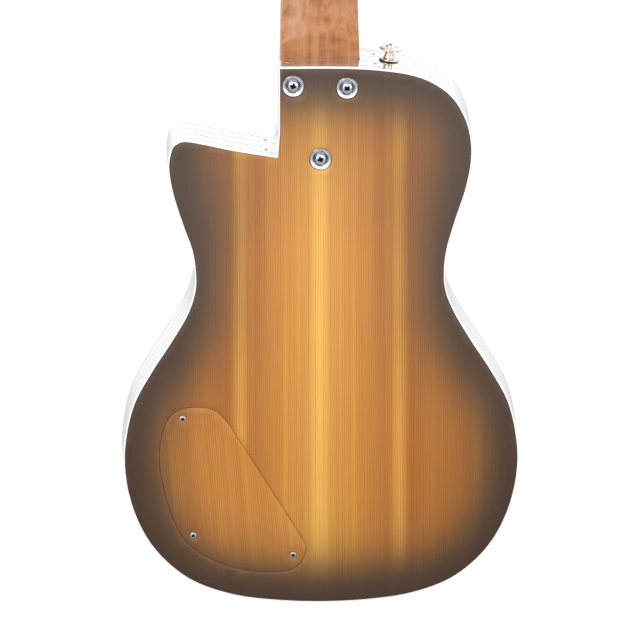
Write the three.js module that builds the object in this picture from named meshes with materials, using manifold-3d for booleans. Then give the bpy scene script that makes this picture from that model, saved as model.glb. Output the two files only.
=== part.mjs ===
// A thin single-cutaway resonator guitar, in millimetres.
// +Z runs up the neck, the front faces -Y and the treble side, with the cutaway, is +X.
// Inside the root group x is measured from the centre line, y is minus the depth from the back's
// surface, and z is the height above the tail. The root group then moves the origin to the place
// under the headstock where a wall hanger holds the instrument.
import * as THREE from "three";
import { mergeVertices } from "three/addons/utils/BufferGeometryUtils.js";
import Module from "manifold-3d";

const wasm = await Module();
wasm.setup();

// ---------------------------------------------------------------- driving dimensions

const FIT = 0.3; // clearance between pieces that meet
const BODY_DEPTH = 60;
const BODY_TOP_Z = 430.8; // where the shoulders meet the neck
const PLATE = 4; // thickness of the top and of the back
const SIDE_WALL = 3.5;
const BINDING_HEIGHT = 3.4;
const BAND_THICKNESS = 1;

const SCALE_LENGTH = 635;
const SADDLE_Z = 148;
const NUT_Z = SADDLE_Z + SCALE_LENGTH;
const NUT_WIDTH = 47.5;
const JOINT_WIDTH = 60.9; // neck width where the body begins, the 14th fret
const NUT_LENGTH = 5;
const NECK_FACE = 61; // depth of the face that carries the fretboard
const FRETBOARD_TOP = 67.5;
const FRETBOARD_END_Z = 342;
const HEEL_DEPTH = 25; // depth of the flat pad at the end of the heel
const NECK_THICKNESS = 15.5;

const CONE_CENTRE_Z = SADDLE_Z;
const CONE_RADIUS = 120.6;
const WELL_RADIUS = 121.2;
const WELL_WALL = 4.8;
const LEDGE_DEPTH = 26;
const COVER_RADIUS = 127;
const BISCUIT_RADIUS = 31;

const STRING_DIAMETERS = [0.33, 0.43, 0.66, 0.91, 1.14, 1.42]; // first string to sixth
const NUT_SPACING = 7.9;
const SADDLE_SPACING = 10.8;
const STRING_AT_NUT = 69.3;
const STRING_AT_SADDLE = 72.4;

const CONTROL_RING = 146; // the controls lie on a circle round the cone
const CONTROL_ANGLES = { selector: -30, volume: -43, tone: -56 };

const HEAD_TILT = 12;
const HEAD_THICKNESS = 14.5;
const HEAD_START_Z = NUT_Z + NUT_LENGTH;
const POST_X = 21;
const POST_HEIGHTS = [42, 80, 118]; // along the headstock
const POST_RADIUS = 3;
const GEAR_TEETH = 15;
const GEAR_RADIUS = 6;
const WORM_OFFSET = 8.7; // between the post's axis and the worm's
const WORM_DEPTH = 19.2; // behind the headstock's face

const JACK = { x: 30, depth: 32, bore: 3.3, barrel: 5.8, flange: 7.4, face: -3.1, seat: -1.1, end: 24 };
const TAIL_BUTTON_DEPTH = 51;
const SHOULDER_BUTTON = { x: -53.4, z: 428, tilt: 8.5 };
const HANGER = { depth: 51, z: 802 };

const NECK_BOLTS = [
  { x: 21.7, z: 416.8 },
  { x: -20.3, z: 414.9 },
  { x: 0.4, z: 357.8 },
];
const COVER_SCREWS = [
  { x: 108, z: 148.6 },
  { x: 99.8, z: 53.9 },
  { x: 21.8, z: 37.4 },
];

// Body outline: half of the lower bout, which is symmetric, then each shoulder.
const LOWER_BOUT = [
  [0, 0], [34, 1.4], [67, 5.9], [95.9, 15.6], [117, 30.2], [133.6, 49.5], [145.4, 73.9],
  [151.8, 101], [152.2, 128], [145.6, 159.5], [132.2, 185.5], [116.7, 210], [104, 232],
];
const BASS_SHOULDER = [
  [-97, 249], [-95.1, 264], [-97, 284], [-103.4, 307.2], [-112, 334], [-116.2, 358], [-115, 378],
  [-109.4, 394.6], [-100, 408.5], [-85, 419.3], [-68, 425.4], [-50, 428.3], [-28, 430.2], [0, 430.8],
];
const TREBLE_SHOULDER = [
  [98, 249.5], [96.9, 264], [99.4, 284], [106.5, 305], [114, 329], [117.8, 351], [115.8, 365.5],
  [112.2, 370.4], [105.4, 372.5], [90, 369.8], [71, 365.5], [50, 361.7],
];
const CUTAWAY_CORNER = [33.2, 359];
const CUTAWAY_WALL_X = 31.6;

// Outline of the flush cover over the controls.
const CONTROL_COVER_CURVE = [
  [13.8, 49.6], [11.9, 41.5], [16.4, 31], [26, 25.2], [43.3, 24.1], [61.2, 26.3], [79, 31.9],
  [98.7, 43.1], [111, 58], [121, 85.8], [126.2, 118], [121, 145], [110.5, 155.5], [96.9, 157.9],
  [82.6, 155.1], [71, 142.5],
];

// ---------------------------------------------------------------- finishes

const FINISHES = {
  sunburst_wood: [0xb07c46, 0.45, 0],
  cover_wood: [0xa8693c, 0.45, 0],
  frame_wood: [0xc8a878, 0.7, 0],
  neck_maple: [0xb5784a, 0.4, 0],
  ebony: [0x2a211d, 0.5, 0],
  bone: [0xece4d0, 0.4, 0],
  white_plastic: [0xf4f1ea, 0.3, 0],
  polished_metal: [0xe2e3e6, 0.12, 1],
  nickel: [0xcfc8bc, 0.2, 1],
  spun_aluminium: [0xbfc2c6, 0.35, 1],
  black_plastic: [0x1a1a1b, 0.4, 0],
  steel: [0x9a9ca0, 0.35, 1],
  string_steel: [0xc6c3bd, 0.3, 1],
};

function material(finish) {
  const [color, roughness, metalness] = FINISHES[finish];
  return new THREE.MeshStandardMaterial({ color, roughness, metalness });
}

// ---------------------------------------------------------------- solids and meshes

function solid(geometry) {
  const bare = new THREE.BufferGeometry();
  bare.setAttribute("position", geometry.getAttribute("position"));
  if (geometry.index) bare.setIndex(geometry.index);
  const merged = mergeVertices(bare, 1e-3);
  return new wasm.Manifold(
    new wasm.Mesh({
      numProp: 3,
      vertProperties: merged.attributes.position.array,
      triVerts: new Uint32Array(merged.index.array),
    }),
  );
}

function geometryOf(manifold) {
  const { vertProperties, triVerts } = manifold.getMesh();
  const geometry = new THREE.BufferGeometry();
  geometry.setAttribute("position", new THREE.BufferAttribute(vertProperties, 3));
  geometry.setIndex(new THREE.BufferAttribute(triVerts, 1));
  geometry.computeVertexNormals();
  return geometry;
}

function piece(parent, name, manifold, finish) {
  const mesh = new THREE.Mesh(geometryOf(manifold), material(finish));
  mesh.name = name;
  parent.add(mesh);
  return mesh;
}

const cut = (body, ...tools) => tools.reduce((left, tool) => left.subtract(tool), body);
const join = (first, ...rest) => rest.reduce((left, next) => left.add(next), first);

const vectors = (points) => points.map(([x, z]) => new THREE.Vector2(x, z));
const mirrored = (points) => points.map(([x, z]) => [-x, z]).reverse();

// A prism standing on the outline (x, z), between two depths.
function slab(outline, near, far, holes = []) {
  const shape = new THREE.Shape(outline);
  holes.forEach((hole) => shape.holes.push(new THREE.Path(hole)));
  const geometry = new THREE.ExtrudeGeometry(shape, { depth: far - near, bevelEnabled: false });
  return solid(geometry.rotateX(Math.PI / 2).translate(0, -near, 0));
}

// A block given by its lowest and highest x, depth and z.
function block([x0, x1], [near, far], [z0, z1]) {
  const geometry = new THREE.BoxGeometry(x1 - x0, far - near, z1 - z0);
  return solid(geometry.translate((x0 + x1) / 2, -(near + far) / 2, (z0 + z1) / 2));
}

function circle(x, z, radius, segments = 16) {
  return Array.from({ length: segments }, (_, i) => {
    const angle = (2 * Math.PI * i) / segments;
    return new THREE.Vector2(x + radius * Math.cos(angle), z + radius * Math.sin(angle));
  });
}

const drill = (x, z, radius, near, far, segments) => slab(circle(x, z, radius, segments), near, far);

// A turned solid whose axis runs through the instrument's depth: profile points are [radius, depth].
function turned(profile, x, z, segments) {
  const points = profile.map(([radius, depth]) => new THREE.Vector2(radius, depth));
  const geometry = new THREE.LatheGeometry(points, segments);
  return solid(geometry.rotateX(Math.PI).translate(x, 0, z));
}

// A turned solid standing on z = 0 with its axis along z: profile points are [radius, height].
function turnedUpright(profile, segments) {
  const points = profile.map(([radius, height]) => new THREE.Vector2(radius, height));
  return solid(new THREE.LatheGeometry(points, segments).rotateX(Math.PI / 2));
}

// A closed skin over convex rings with the same number of points each.
function loft(rings) {
  const count = rings[0].length;
  const last = (rings.length - 1) * count;
  const index = [];
  for (let r = 0; r + 1 < rings.length; r++)
    for (let i = 0; i < count; i++) {
      const a = r * count + i;
      const b = r * count + ((i + 1) % count);
      index.push(a, b, b + count, a, b + count, a + count);
    }
  for (let i = 0; i + 2 < count; i++) {
    index.push(count - 1, i + 1, i);
    index.push(last + count - 1, last + i, last + i + 1);
  }
  const geometry = new THREE.BufferGeometry().setFromPoints(rings.flat());
  geometry.setIndex(index);
  return solid(geometry);
}

// ---------------------------------------------------------------- outlines

const SPLINE_STEPS = 2; // straight facets between two outline points

function spline(points, closed = false) {
  const curve = closed
    ? new THREE.CatmullRomCurve3(points.map(([x, z]) => new THREE.Vector3(x, z, 0)), true, "catmullrom")
    : new THREE.SplineCurve(vectors(points));
  const steps = (closed ? points.length : points.length - 1) * SPLINE_STEPS;
  return curve.getPoints(steps).map(({ x, y }) => new THREE.Vector2(x, y));
}

function bodyOutline() {
  const run = [
    [CUTAWAY_WALL_X, BODY_TOP_Z],
    ...BASS_SHOULDER.toReversed(),
    ...mirrored(LOWER_BOUT),
    ...LOWER_BOUT.slice(1),
    ...TREBLE_SHOULDER,
    CUTAWAY_CORNER,
  ];
  return [...spline(run), new THREE.Vector2(CUTAWAY_WALL_X, 380)];
}

function distanceToOutline(point, outline) {
  const near = new THREE.Vector3();
  const here = new THREE.Vector3(point.x, point.y, 0);
  const line = new THREE.Line3();
  return Math.min(
    ...outline.map((a, i) => {
      const b = outline[(i + 1) % outline.length];
      line.start.set(a.x, a.y, 0);
      line.end.set(b.x, b.y, 0);
      return line.closestPointToPoint(here, true, near).distanceTo(here);
    }),
  );
}

// The outline moved outwards by a distance, or inwards if it is negative.
function moved(outline, distance) {
  const normal = (a, b) => new THREE.Vector2(b.y - a.y, a.x - b.x).normalize();
  const points = outline.map((point, i) => {
    const before = normal(outline.at(i - 1), point);
    const after = normal(point, outline[(i + 1) % outline.length]);
    const share = distance / (1 + before.dot(after));
    return before.add(after).multiplyScalar(share).add(point);
  });
  const keep = Math.abs(distance) - 0.1;
  return points.filter((point) => distanceToOutline(point, outline) >= keep);
}

const BODY = bodyOutline();
const COVER_OUTLINE = spline(CONTROL_COVER_CURVE);

const halfWidth = (z) => (NUT_WIDTH + ((JOINT_WIDTH - NUT_WIDTH) * (NUT_Z - z)) / (NUT_Z - BODY_TOP_Z)) / 2;

// The pocket for the neck: open at the shoulder, and along the cutaway's wall.
function neckPocket() {
  const low = FRETBOARD_END_Z - 1;
  const high = BODY_TOP_Z + 10;
  const corner = CUTAWAY_CORNER[1] + 1.6;
  const past = CUTAWAY_WALL_X + BAND_THICKNESS + 3 * FIT;
  const outline = vectors([
    [-halfWidth(low) - FIT, low],
    [halfWidth(low) + FIT, low],
    [halfWidth(corner) + FIT, corner],
    [past, corner],
    [past, high],
    [-halfWidth(high) - FIT, high],
  ]);
  return slab(outline, HEEL_DEPTH - FIT, BODY_DEPTH + 10);
}

const controlPlace = (name) => {
  const angle = THREE.MathUtils.degToRad(CONTROL_ANGLES[name]);
  return {
    x: CONTROL_RING * Math.cos(angle),
    z: CONE_CENTRE_Z + CONTROL_RING * Math.sin(angle),
  };
};

// ---------------------------------------------------------------- body

const FERRULE_RADIUS = 8.55;
const BUSH_RADIUS = 4.6; // threaded bush of a potentiometer or a switch
const PICKUP = { z0: 287, z1: 325, halfWidth: 35.5, top: 66.5 };
const PICKUP_RING = { z0: 281, z1: 331, halfWidth: 43, top: 63 };
const upperDeck = BODY_DEPTH - PLATE - FIT; // depth of the top plate's underside, less the fit

function rectangle(x0, x1, z0, z1) {
  return vectors([[x0, z0], [x1, z0], [x1, z1], [x0, z1]]);
}

function backPlate() {
  const holes = NECK_BOLTS.map(({ x, z }) => circle(x, z, FERRULE_RADIUS + FIT).reverse());
  return slab(BODY, 0, PLATE, [moved(COVER_OUTLINE, FIT), ...holes]);
}

function topPlate() {
  const holes = [
    circle(0, CONE_CENTRE_Z, WELL_RADIUS, 40),
    rectangle(-PICKUP.halfWidth - 2, PICKUP.halfWidth + 2, PICKUP.z0 - 2, PICKUP.z1 + 2),
  ];
  for (const name of Object.keys(CONTROL_ANGLES)) {
    const { x, z } = controlPlace(name);
    holes.push(circle(x, z, BUSH_RADIUS + FIT, 12));
  }
  return cut(slab(BODY, BODY_DEPTH - PLATE, BODY_DEPTH, holes), neckPocket());
}

// The tail block closes the rim between the two bent sides, and takes the jack and the strap button.
const TAIL_BLOCK = { x0: -34, x1: 46, top: 17 };

function tailBlock() {
  const { x0, x1, top } = TAIL_BLOCK;
  const end = slab(BODY, PLATE + FIT, upperDeck).intersect(block([x0, x1], [0, BODY_DEPTH], [-1, top]));
  return cut(end, jackHole());
}

const BODY_REACH = 160; // more than half of the body's width

// One bent side, from the tail block to the middle of the neck joint.
function side(xs) {
  const ring = slab(BODY, PLATE + FIT, upperDeck, [moved(BODY, -SIDE_WALL)]);
  const { x0, x1, top } = TAIL_BLOCK;
  const tailGap = block([x0 - FIT, x1 + FIT], [0, BODY_DEPTH], [-1, top + 1]);
  const half = block(xs, [0, BODY_DEPTH], [-1, BODY_TOP_Z + 1]);
  return cut(ring, neckPocket(), tailGap, ...ferruleSeats()).intersect(half);
}

// The counterbores that take the ferrules, under the back plate.
function ferruleSeats() {
  return NECK_BOLTS.map(({ x, z }) => drill(x, z, FERRULE_RADIUS + FIT, 0, 6.5));
}

function innerBlock(xs, zs) {
  const inside = slab(moved(BODY, -SIDE_WALL - FIT), PLATE + FIT, upperDeck);
  return inside.intersect(block(xs, [0, BODY_DEPTH], zs));
}

function neckBlock() {
  const bores = NECK_BOLTS.map(({ x, z }) => drill(x, z, 2.6, 0, 40, 10));
  return cut(innerBlock([-50, 60], [338, 430]), neckPocket(), ...ferruleSeats(), ...bores);
}

function ringAround(near, far, inner, outer) {
  return slab(moved(BODY, outer), near, far, [moved(BODY, inner)]);
}

function binding(near) {
  return ringAround(near, near + BINDING_HEIGHT, FIT, FIT + BAND_THICKNESS);
}

function edgeBand() {
  const low = BINDING_HEIGHT + FIT;
  const high = BODY_DEPTH - BINDING_HEIGHT - FIT;
  const band = ringAround(low, high, FIT, FIT + BAND_THICKNESS);
  return cut(band, neckPocket(), jackHole());
}

function addBody(root) {
  piece(root, "back_plate", backPlate(), "sunburst_wood");
  piece(root, "top_plate", topPlate(), "sunburst_wood");
  piece(root, "side_bass", side([-BODY_REACH, -FIT / 2]), "frame_wood");
  piece(root, "side_treble", side([FIT / 2, BODY_REACH]), "frame_wood");
  piece(root, "neck_block", neckBlock(), "frame_wood");
  piece(root, "tail_block", tailBlock(), "frame_wood");
  piece(root, "back_binding", binding(0), "white_plastic");
  piece(root, "edge_band", edgeBand(), "polished_metal");
  const front = cut(binding(BODY_DEPTH - BINDING_HEIGHT), neckPocket());
  piece(root, "front_binding", front, "white_plastic");
}

// ---------------------------------------------------------------- control cover

function controlCover() {
  const holes = COVER_SCREWS.map(({ x, z }) => circle(x, z, 1.9, 10));
  return slab(COVER_OUTLINE, 0, PLATE, holes);
}

function coverLedge() {
  const outer = moved(COVER_OUTLINE, 6);
  const inner = moved(COVER_OUTLINE, -9);
  return slab(outer, PLATE + FIT, PLATE + 3.3, [inner]);
}

function addControlCover(root) {
  piece(root, "control_cover", controlCover(), "cover_wood");
  piece(root, "cover_ledge", coverLedge(), "frame_wood");
}

// ---------------------------------------------------------------- resonator

function soundwell() {
  const outer = WELL_RADIUS + WELL_WALL;
  return turned(
    [
      [113, LEDGE_DEPTH], [113, 19.5], [outer, 19.5], [outer, upperDeck],
      [WELL_RADIUS, upperDeck], [WELL_RADIUS, LEDGE_DEPTH], [113, LEDGE_DEPTH],
    ],
    0, CONE_CENTRE_Z, 40,
  );
}

// The face of the spun cone, from its rim to the flat top that carries the biscuit.
const CONE_FACE = [
  [CONE_RADIUS, 28.4], [117.4, 28.8], [113.5, 27.6], [106, 29.6], [60, 46.6], [37, 54.2], [0, 54.2],
];
const CONE_THICKNESS = 1;

function cone() {
  const under = CONE_FACE.map(([radius, depth]) => [radius, depth - CONE_THICKNESS]).reverse();
  const rim = [CONE_RADIUS, LEDGE_DEPTH + FIT];
  under.pop();
  return turned([...under, [117.4, rim[1]], rim, ...CONE_FACE], 0, CONE_CENTRE_Z, 32);
}

function biscuit() {
  const low = 54.5;
  const high = 62.5;
  return turned([[0, low], [BISCUIT_RADIUS, low], [BISCUIT_RADIUS, high], [0, high]], 0, CONE_CENTRE_Z, 32);
}

const SADDLE_TOP = 71.3;

function addResonator(root) {
  piece(root, "soundwell", soundwell(), "frame_wood");
  piece(root, "cone", cone(), "spun_aluminium");
  piece(root, "biscuit", biscuit(), "neck_maple");
  const zs = [SADDLE_Z - 1.6, SADDLE_Z + 1.6];
  piece(root, "saddle", block([-29.5, 29.5], [62.8, SADDLE_TOP], zs), "bone");
}

// ---------------------------------------------------------------- coverplate and hand rest

const COVER_FACE = [
  [COVER_RADIUS, 61.5], [119, 61.9], [112, 64.2], [88, 66.2], [52, 67], [37, 67],
];
const COVER_SHEET = 1.2;

function coverplateDish() {
  const under = COVER_FACE.map(([radius, depth]) => [radius, depth - COVER_SHEET]).reverse();
  const profile = [...under, ...COVER_FACE];
  return turned([...profile, profile[0]], 0, CONE_CENTRE_Z, 40);
}

// One ring of sound slots, each long in the radial direction.
function slotRing(count, inner, outer, width) {
  return Array.from({ length: count }, (_, i) => {
    const outline = rectangle(inner, outer, -width / 2, width / 2);
    const angle = (2 * Math.PI * (i + 0.5)) / count;
    const turnedOutline = outline.map((point) => point.rotateAround(new THREE.Vector2(), angle));
    const placed = turnedOutline.map(({ x, y }) => new THREE.Vector2(x, y + CONE_CENTRE_Z));
    return slab(placed, 60, 70);
  });
}

function coverplate() {
  return cut(coverplateDish(), ...slotRing(20, 66, 84, 5), ...slotRing(20, 92, 106, 7));
}

const HAND_REST = { halfLength: 58, halfWidth: 19, top: 80, sheet: 1.6, foot: 12 };

// A bent strip that bridges the saddle: seen along the strings it is a flat-topped arch.
function handRest() {
  const { halfLength, halfWidth: across, top, sheet, foot } = HAND_REST;
  const base = 67.3;
  const outer = [
    [-halfLength, base], [-halfLength, base + sheet], [-halfLength + foot, base + sheet],
    [-34, top - 1.4], [-24, top], [24, top], [34, top - 1.4], [halfLength - foot, base + sheet],
    [halfLength, base + sheet], [halfLength, base],
  ];
  const inner = [
    [halfLength - foot - sheet, base], [33, top - 1.4 - sheet], [23.5, top - sheet],
    [-23.5, top - sheet], [-33, top - 1.4 - sheet], [-halfLength + foot + sheet, base],
  ];
  const shape = new THREE.Shape(vectors([...outer, ...inner]));
  const geometry = new THREE.ExtrudeGeometry(shape, { depth: 2 * across, bevelEnabled: false });
  geometry.scale(1, -1, 1).translate(0, 0, SADDLE_Z - across);
  return solid(flipped(geometry));
}

// Turns every face of an unindexed geometry round, after a mirroring scale.
function flipped(geometry) {
  const { array } = geometry.getAttribute("position");
  for (let i = 0; i < array.length; i += 9)
    for (let k = 3; k < 6; k++) [array[i + k], array[i + k + 3]] = [array[i + k + 3], array[i + k]];
  return geometry;
}

function addCoverplate(root) {
  piece(root, "coverplate", coverplate(), "polished_metal");
  piece(root, "hand_rest", handRest(), "polished_metal");
}

// ---------------------------------------------------------------- tailpiece

const TAILPIECE = { base: 60.3, sheet: 1.5, bar: 68.6, barZ: 62 };

// A strip seen from the side, [height, depth] along its lower face, rising over the coverplate's rim.
function tailpieceStrap() {
  const { base, sheet, bar, barZ } = TAILPIECE;
  const lower = [[3, base], [18.5, base], [31, bar - sheet], [barZ, bar - sheet]];
  const upper = [[barZ, bar], [30.4, bar], [17.9, base + sheet], [3, base + sheet]];
  const shape = new THREE.Shape(vectors([...lower, ...upper]));
  const geometry = new THREE.ExtrudeGeometry(shape, { depth: 30, bevelEnabled: false });
  const toBody = new THREE.Matrix4().set(0, 0, 1, -15, 0, -1, 0, 0, 1, 0, 0, 0, 0, 0, 0, 1);
  return solid(geometry.applyMatrix4(toBody));
}

function tailpiece() {
  const { sheet, bar, barZ } = TAILPIECE;
  const crossbar = block([-33, 33], [bar - sheet - 0.2, bar + 0.4], [barZ - 12, barZ]);
  const lip = block([-33, 33], [bar - 0.5, bar + 3.6], [barZ - 12, barZ - 10.4]);
  return join(tailpieceStrap(), crossbar, lip);
}

// ---------------------------------------------------------------- neck

const SCOOP = { start: 524.9, length: 91, reach: 46 }; // how the shaft's back sweeps into the heel

// Depth of the neck's wood below the fretboard's face, across its width at one height.
function neckBack(x, z) {
  const across = Math.min(Math.abs(x) / halfWidth(z), 1);
  const taper = (NUT_Z - z) / (NUT_Z - BODY_TOP_Z);
  const round = (NECK_THICKNESS + 2 * taper) * Math.pow(1 - Math.pow(across, 2.4), 0.55);
  const rise = Math.max(0, Math.min(1, (SCOOP.start - z) / SCOOP.length)) ** 2;
  return Math.min(NECK_FACE - HEEL_DEPTH, round + (SCOOP.reach - round) * rise);
}

function neckRing(z) {
  const columns = 12;
  const ring = [];
  for (let i = 0; i <= columns; i++) {
    const angle = (Math.PI * i) / columns;
    const x = -halfWidth(z) * Math.cos(angle);
    ring.push(new THREE.Vector3(x, -NECK_FACE + Math.max(0.4, neckBack(x, z)), z));
  }
  ring.push(new THREE.Vector3(halfWidth(z), -NECK_FACE, z));
  ring.push(new THREE.Vector3(-halfWidth(z), -NECK_FACE, z));
  return ring;
}

function neckShaft() {
  const scoop = [434, 438, 441, 444, 446, 448, 450, 452, 454, 457, 460, 465, 470, 477, 485, 495, 508, 525];
  const heights = [FRETBOARD_END_Z + 0.5, ...scoop, 600, 700, HEAD_START_Z - 5, HEAD_START_Z + 8];
  return loft(heights.map(neckRing).toReversed());
}

// Right half of the headstock's outline, from the nut to the crown.
const HEAD_SIDE = [
  [24, -2], [25.5, 8], [31, 17], [36.5, 27], [37.8, 42], [37, 90], [36, 140], [34, 153], [27, 160],
  [14, 163], [0, 161],
];

const headFrame = new THREE.Matrix4().compose(
  new THREE.Vector3(0, -NECK_FACE, HEAD_START_Z),
  new THREE.Quaternion().setFromEuler(new THREE.Euler(THREE.MathUtils.degToRad(-HEAD_TILT), 0, 0)),
  new THREE.Vector3(1, 1, 1),
);

// In the headstock's own frame depth is measured back from its face, so y is plus the depth.
function headstock() {
  const outline = spline([...HEAD_SIDE, ...mirrored(HEAD_SIDE).slice(1)]);
  const shape = new THREE.Shape(outline);
  for (const side of [-1, 1])
    for (const height of POST_HEIGHTS)
      shape.holes.push(new THREE.Path(circle(side * POST_X, height, POST_RADIUS + 0.5, 12)));
  const geometry = new THREE.ExtrudeGeometry(shape, { depth: HEAD_THICKNESS, bevelEnabled: false });
  geometry.rotateX(Math.PI / 2).translate(0, HEAD_THICKNESS, 0).applyMatrix4(headFrame);
  return solid(geometry);
}

const TRUSS_SLOT = { halfWidth: 3.3, depth: 9, z0: 446 };

function neck() {
  const slot = block(
    [-TRUSS_SLOT.halfWidth, TRUSS_SLOT.halfWidth],
    [NECK_FACE - TRUSS_SLOT.depth, NECK_FACE + 1],
    [TRUSS_SLOT.z0, NUT_Z - 4],
  );
  const bores = NECK_BOLTS.map(({ x, z }) => drill(x, z, 2.6, HEEL_DEPTH - 1, 56.5, 10));
  const front = block([-60, 60], [NECK_FACE, NECK_FACE + 20], [FRETBOARD_END_Z - 5, HEAD_START_Z + 20]);
  return cut(join(neckShaft(), headstock()), slot, front, ...bores);
}

function taperedBoard(near, far, z0, z1) {
  return slab(
    vectors([[-halfWidth(z0), z0], [halfWidth(z0), z0], [halfWidth(z1), z1], [-halfWidth(z1), z1]]),
    near, far,
  );
}

function addNeck(root) {
  const half = TRUSS_SLOT.halfWidth - FIT;
  const rodDepths = [NECK_FACE - TRUSS_SLOT.depth + FIT, NECK_FACE - 1];
  const board = taperedBoard(NECK_FACE + FIT, FRETBOARD_TOP, FRETBOARD_END_Z, NUT_Z);
  const nut = taperedBoard(NECK_FACE + FIT, 68.2, NUT_Z + FIT, NUT_Z + NUT_LENGTH);
  const rod = block([-half, half], rodDepths, [TRUSS_SLOT.z0 + FIT, NUT_Z - 5]);
  piece(root, "neck", neck(), "neck_maple");
  piece(root, "truss_rod", rod, "steel");
  piece(root, "fretboard", board, "ebony");
  piece(root, "nut", nut, "bone");
}

// ---------------------------------------------------------------- neck ferrules and bolts

// A dished cup that lies just under the back's surface, with a hole for its bolt.
function ferrule({ x, z }) {
  const rim = FERRULE_RADIUS;
  const profile = [[2.4, 6.2], [2.4, 3.4], [5, 2.6], [rim - 1, 0.6], [rim, 0.4], [rim, 6.2], [2.4, 6.2]];
  return turned(profile, x, z, 20);
}

function neckBolt({ x, z }) {
  const profile = [[0, 0.4], [2.6, 0.8], [3.9, 1.7], [4, 2.2], [2.1, 3.6], [2.1, 54], [0, 56]];
  return turned(profile, x, z, 10);
}

function addNeckBolts(root) {
  NECK_BOLTS.forEach((place, i) => {
    piece(root, `neck_ferrule_${i + 1}`, ferrule(place), "nickel");
    piece(root, `neck_bolt_${i + 1}`, neckBolt(place), "steel");
  });
}

// ---------------------------------------------------------------- pickup

function addPickup(root) {
  const { z0, z1, halfWidth: half, top } = PICKUP;
  const ring = PICKUP_RING;
  const floor = 46;
  const opening = block([-half - FIT, half + FIT], [50, 70], [z0 - FIT, z1 + FIT]);
  const frame = cut(block([-ring.halfWidth, ring.halfWidth], [60.3, ring.top], [ring.z0, ring.z1]), opening);
  const shell = block([-half, half], [floor, top], [z0, z1]);
  const hollow = block([-half + 1, half - 1], [floor - 1, top - 1], [z0 + 1, z1 - 1]);
  const bobbin = block([-half + 1.4, half - 1.4], [floor + 0.5, top - 1.4], [z0 + 1.4, z1 - 1.4]);
  piece(root, "pickup_ring", frame, "black_plastic");
  piece(root, "pickup_cover", cut(shell, hollow), "polished_metal");
  piece(root, "pickup_coil", bobbin, "black_plastic");
}

// ---------------------------------------------------------------- controls

const SHAFT_RADIUS = 3;
const POT_CAN = { radius: 8, near: 43, far: upperDeck };
const BUSH_TOP = 63.5;

// A potentiometer or switch case under the top, with its threaded bush through the top.
function canWithBush(can, place, bore, boreEnd) {
  const bush = turned(
    [[0, can.far - 2], [BUSH_RADIUS, can.far - 2], [BUSH_RADIUS, BUSH_TOP], [0, BUSH_TOP]],
    place.x, place.z, 14,
  );
  const body = turned(
    [[0, can.near], [can.radius, can.near], [can.radius, can.far], [0, can.far]],
    place.x, place.z, 18,
  );
  return cut(join(body, bush), drill(place.x, place.z, bore, boreEnd, BUSH_TOP + 1, 14));
}

function knob({ x, z }) {
  const profile = [
    [0, 48], [SHAFT_RADIUS, 48], [SHAFT_RADIUS, 64.5], [8.6, 64.5], [9.4, 65.2], [8, 76.4],
    [6.8, 77.6], [0, 78],
  ];
  return turned(profile, x, z, 16);
}

const LEVER = { pivot: 57, tip: 76, ball: 2.6, rod: 1.5, knob: 3.9 };

function selectorLever({ x, z }) {
  const { pivot, tip, ball, rod, knob: end } = LEVER;
  const profile = [
    [0, pivot - ball], [ball, pivot], [rod, pivot + 2.4], [rod, tip - 4], [end - 0.6, tip - 2.6],
    [end, tip], [end - 1, tip + 2.8], [0, tip + 3.6],
  ];
  return turned(profile, x, z, 12);
}

function addControls(root) {
  for (const name of ["volume", "tone"]) {
    const place = controlPlace(name);
    const pot = canWithBush(POT_CAN, place, SHAFT_RADIUS + FIT, 47.5);
    piece(root, `${name}_pot`, pot, "steel");
    piece(root, `${name}_knob`, knob(place), "nickel");
  }
  const place = controlPlace("selector");
  const can = { radius: 7.5, near: 36, far: upperDeck };
  piece(root, "selector_switch", canWithBush(can, place, 3.9, 53), "steel");
  piece(root, "selector_lever", selectorLever(place), "bone");
}

// ---------------------------------------------------------------- output jack

const jackHole = () => jackCylinder(JACK.barrel + FIT, -20, 20);

function jackCylinder(radius, low, high) {
  const geometry = new THREE.CylinderGeometry(radius, radius, high - low, 18);
  geometry.rotateX(Math.PI / 2).translate(JACK.x, -JACK.depth, (low + high) / 2);
  return solid(geometry);
}

function outputJack() {
  const flange = jackCylinder(JACK.flange, JACK.face, JACK.seat);
  const barrel = jackCylinder(JACK.barrel, JACK.face, JACK.end);
  return cut(join(barrel, flange), jackCylinder(JACK.bore, JACK.face - 1, JACK.end - 3));
}

// ---------------------------------------------------------------- strap buttons

const BUTTON_PROFILE = [
  [0, 0], [7, 0], [7, 1.1], [4.6, 2.2], [3.8, 4], [3.9, 6.4], [5.6, 8], [8.95, 8.7], [8.95, 10.2],
  [7.6, 10.8], [0, 10.8],
];

function addStrapButtons(root) {
  const above = 2 * FIT + BAND_THICKNESS;
  const tail = piece(root, "strap_button_tail", turnedUpright(BUTTON_PROFILE, 16), "nickel");
  tail.position.set(0, -TAIL_BUTTON_DEPTH, -above);
  tail.rotation.x = Math.PI;
  const upper = piece(root, "strap_button_upper", turnedUpright(BUTTON_PROFILE, 16), "nickel");
  upper.position.set(SHOULDER_BUTTON.x, -BODY_DEPTH / 2, SHOULDER_BUTTON.z + above);
  upper.rotation.y = THREE.MathUtils.degToRad(-SHOULDER_BUTTON.tilt);
}

// ---------------------------------------------------------------- tuners

const TUNER_PLATE = { near: HEAD_THICKNESS + FIT, far: HEAD_THICKNESS + 1.5, x0: 13, x1: 34 };
const WORM_SHAFT = 1.6;
const EARS = [[14, 15.5], [29.5, 31]];
const EAR_HALF = 3.4; // half of an ear's height along the headstock
const BUTTON_X = 52;

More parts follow.
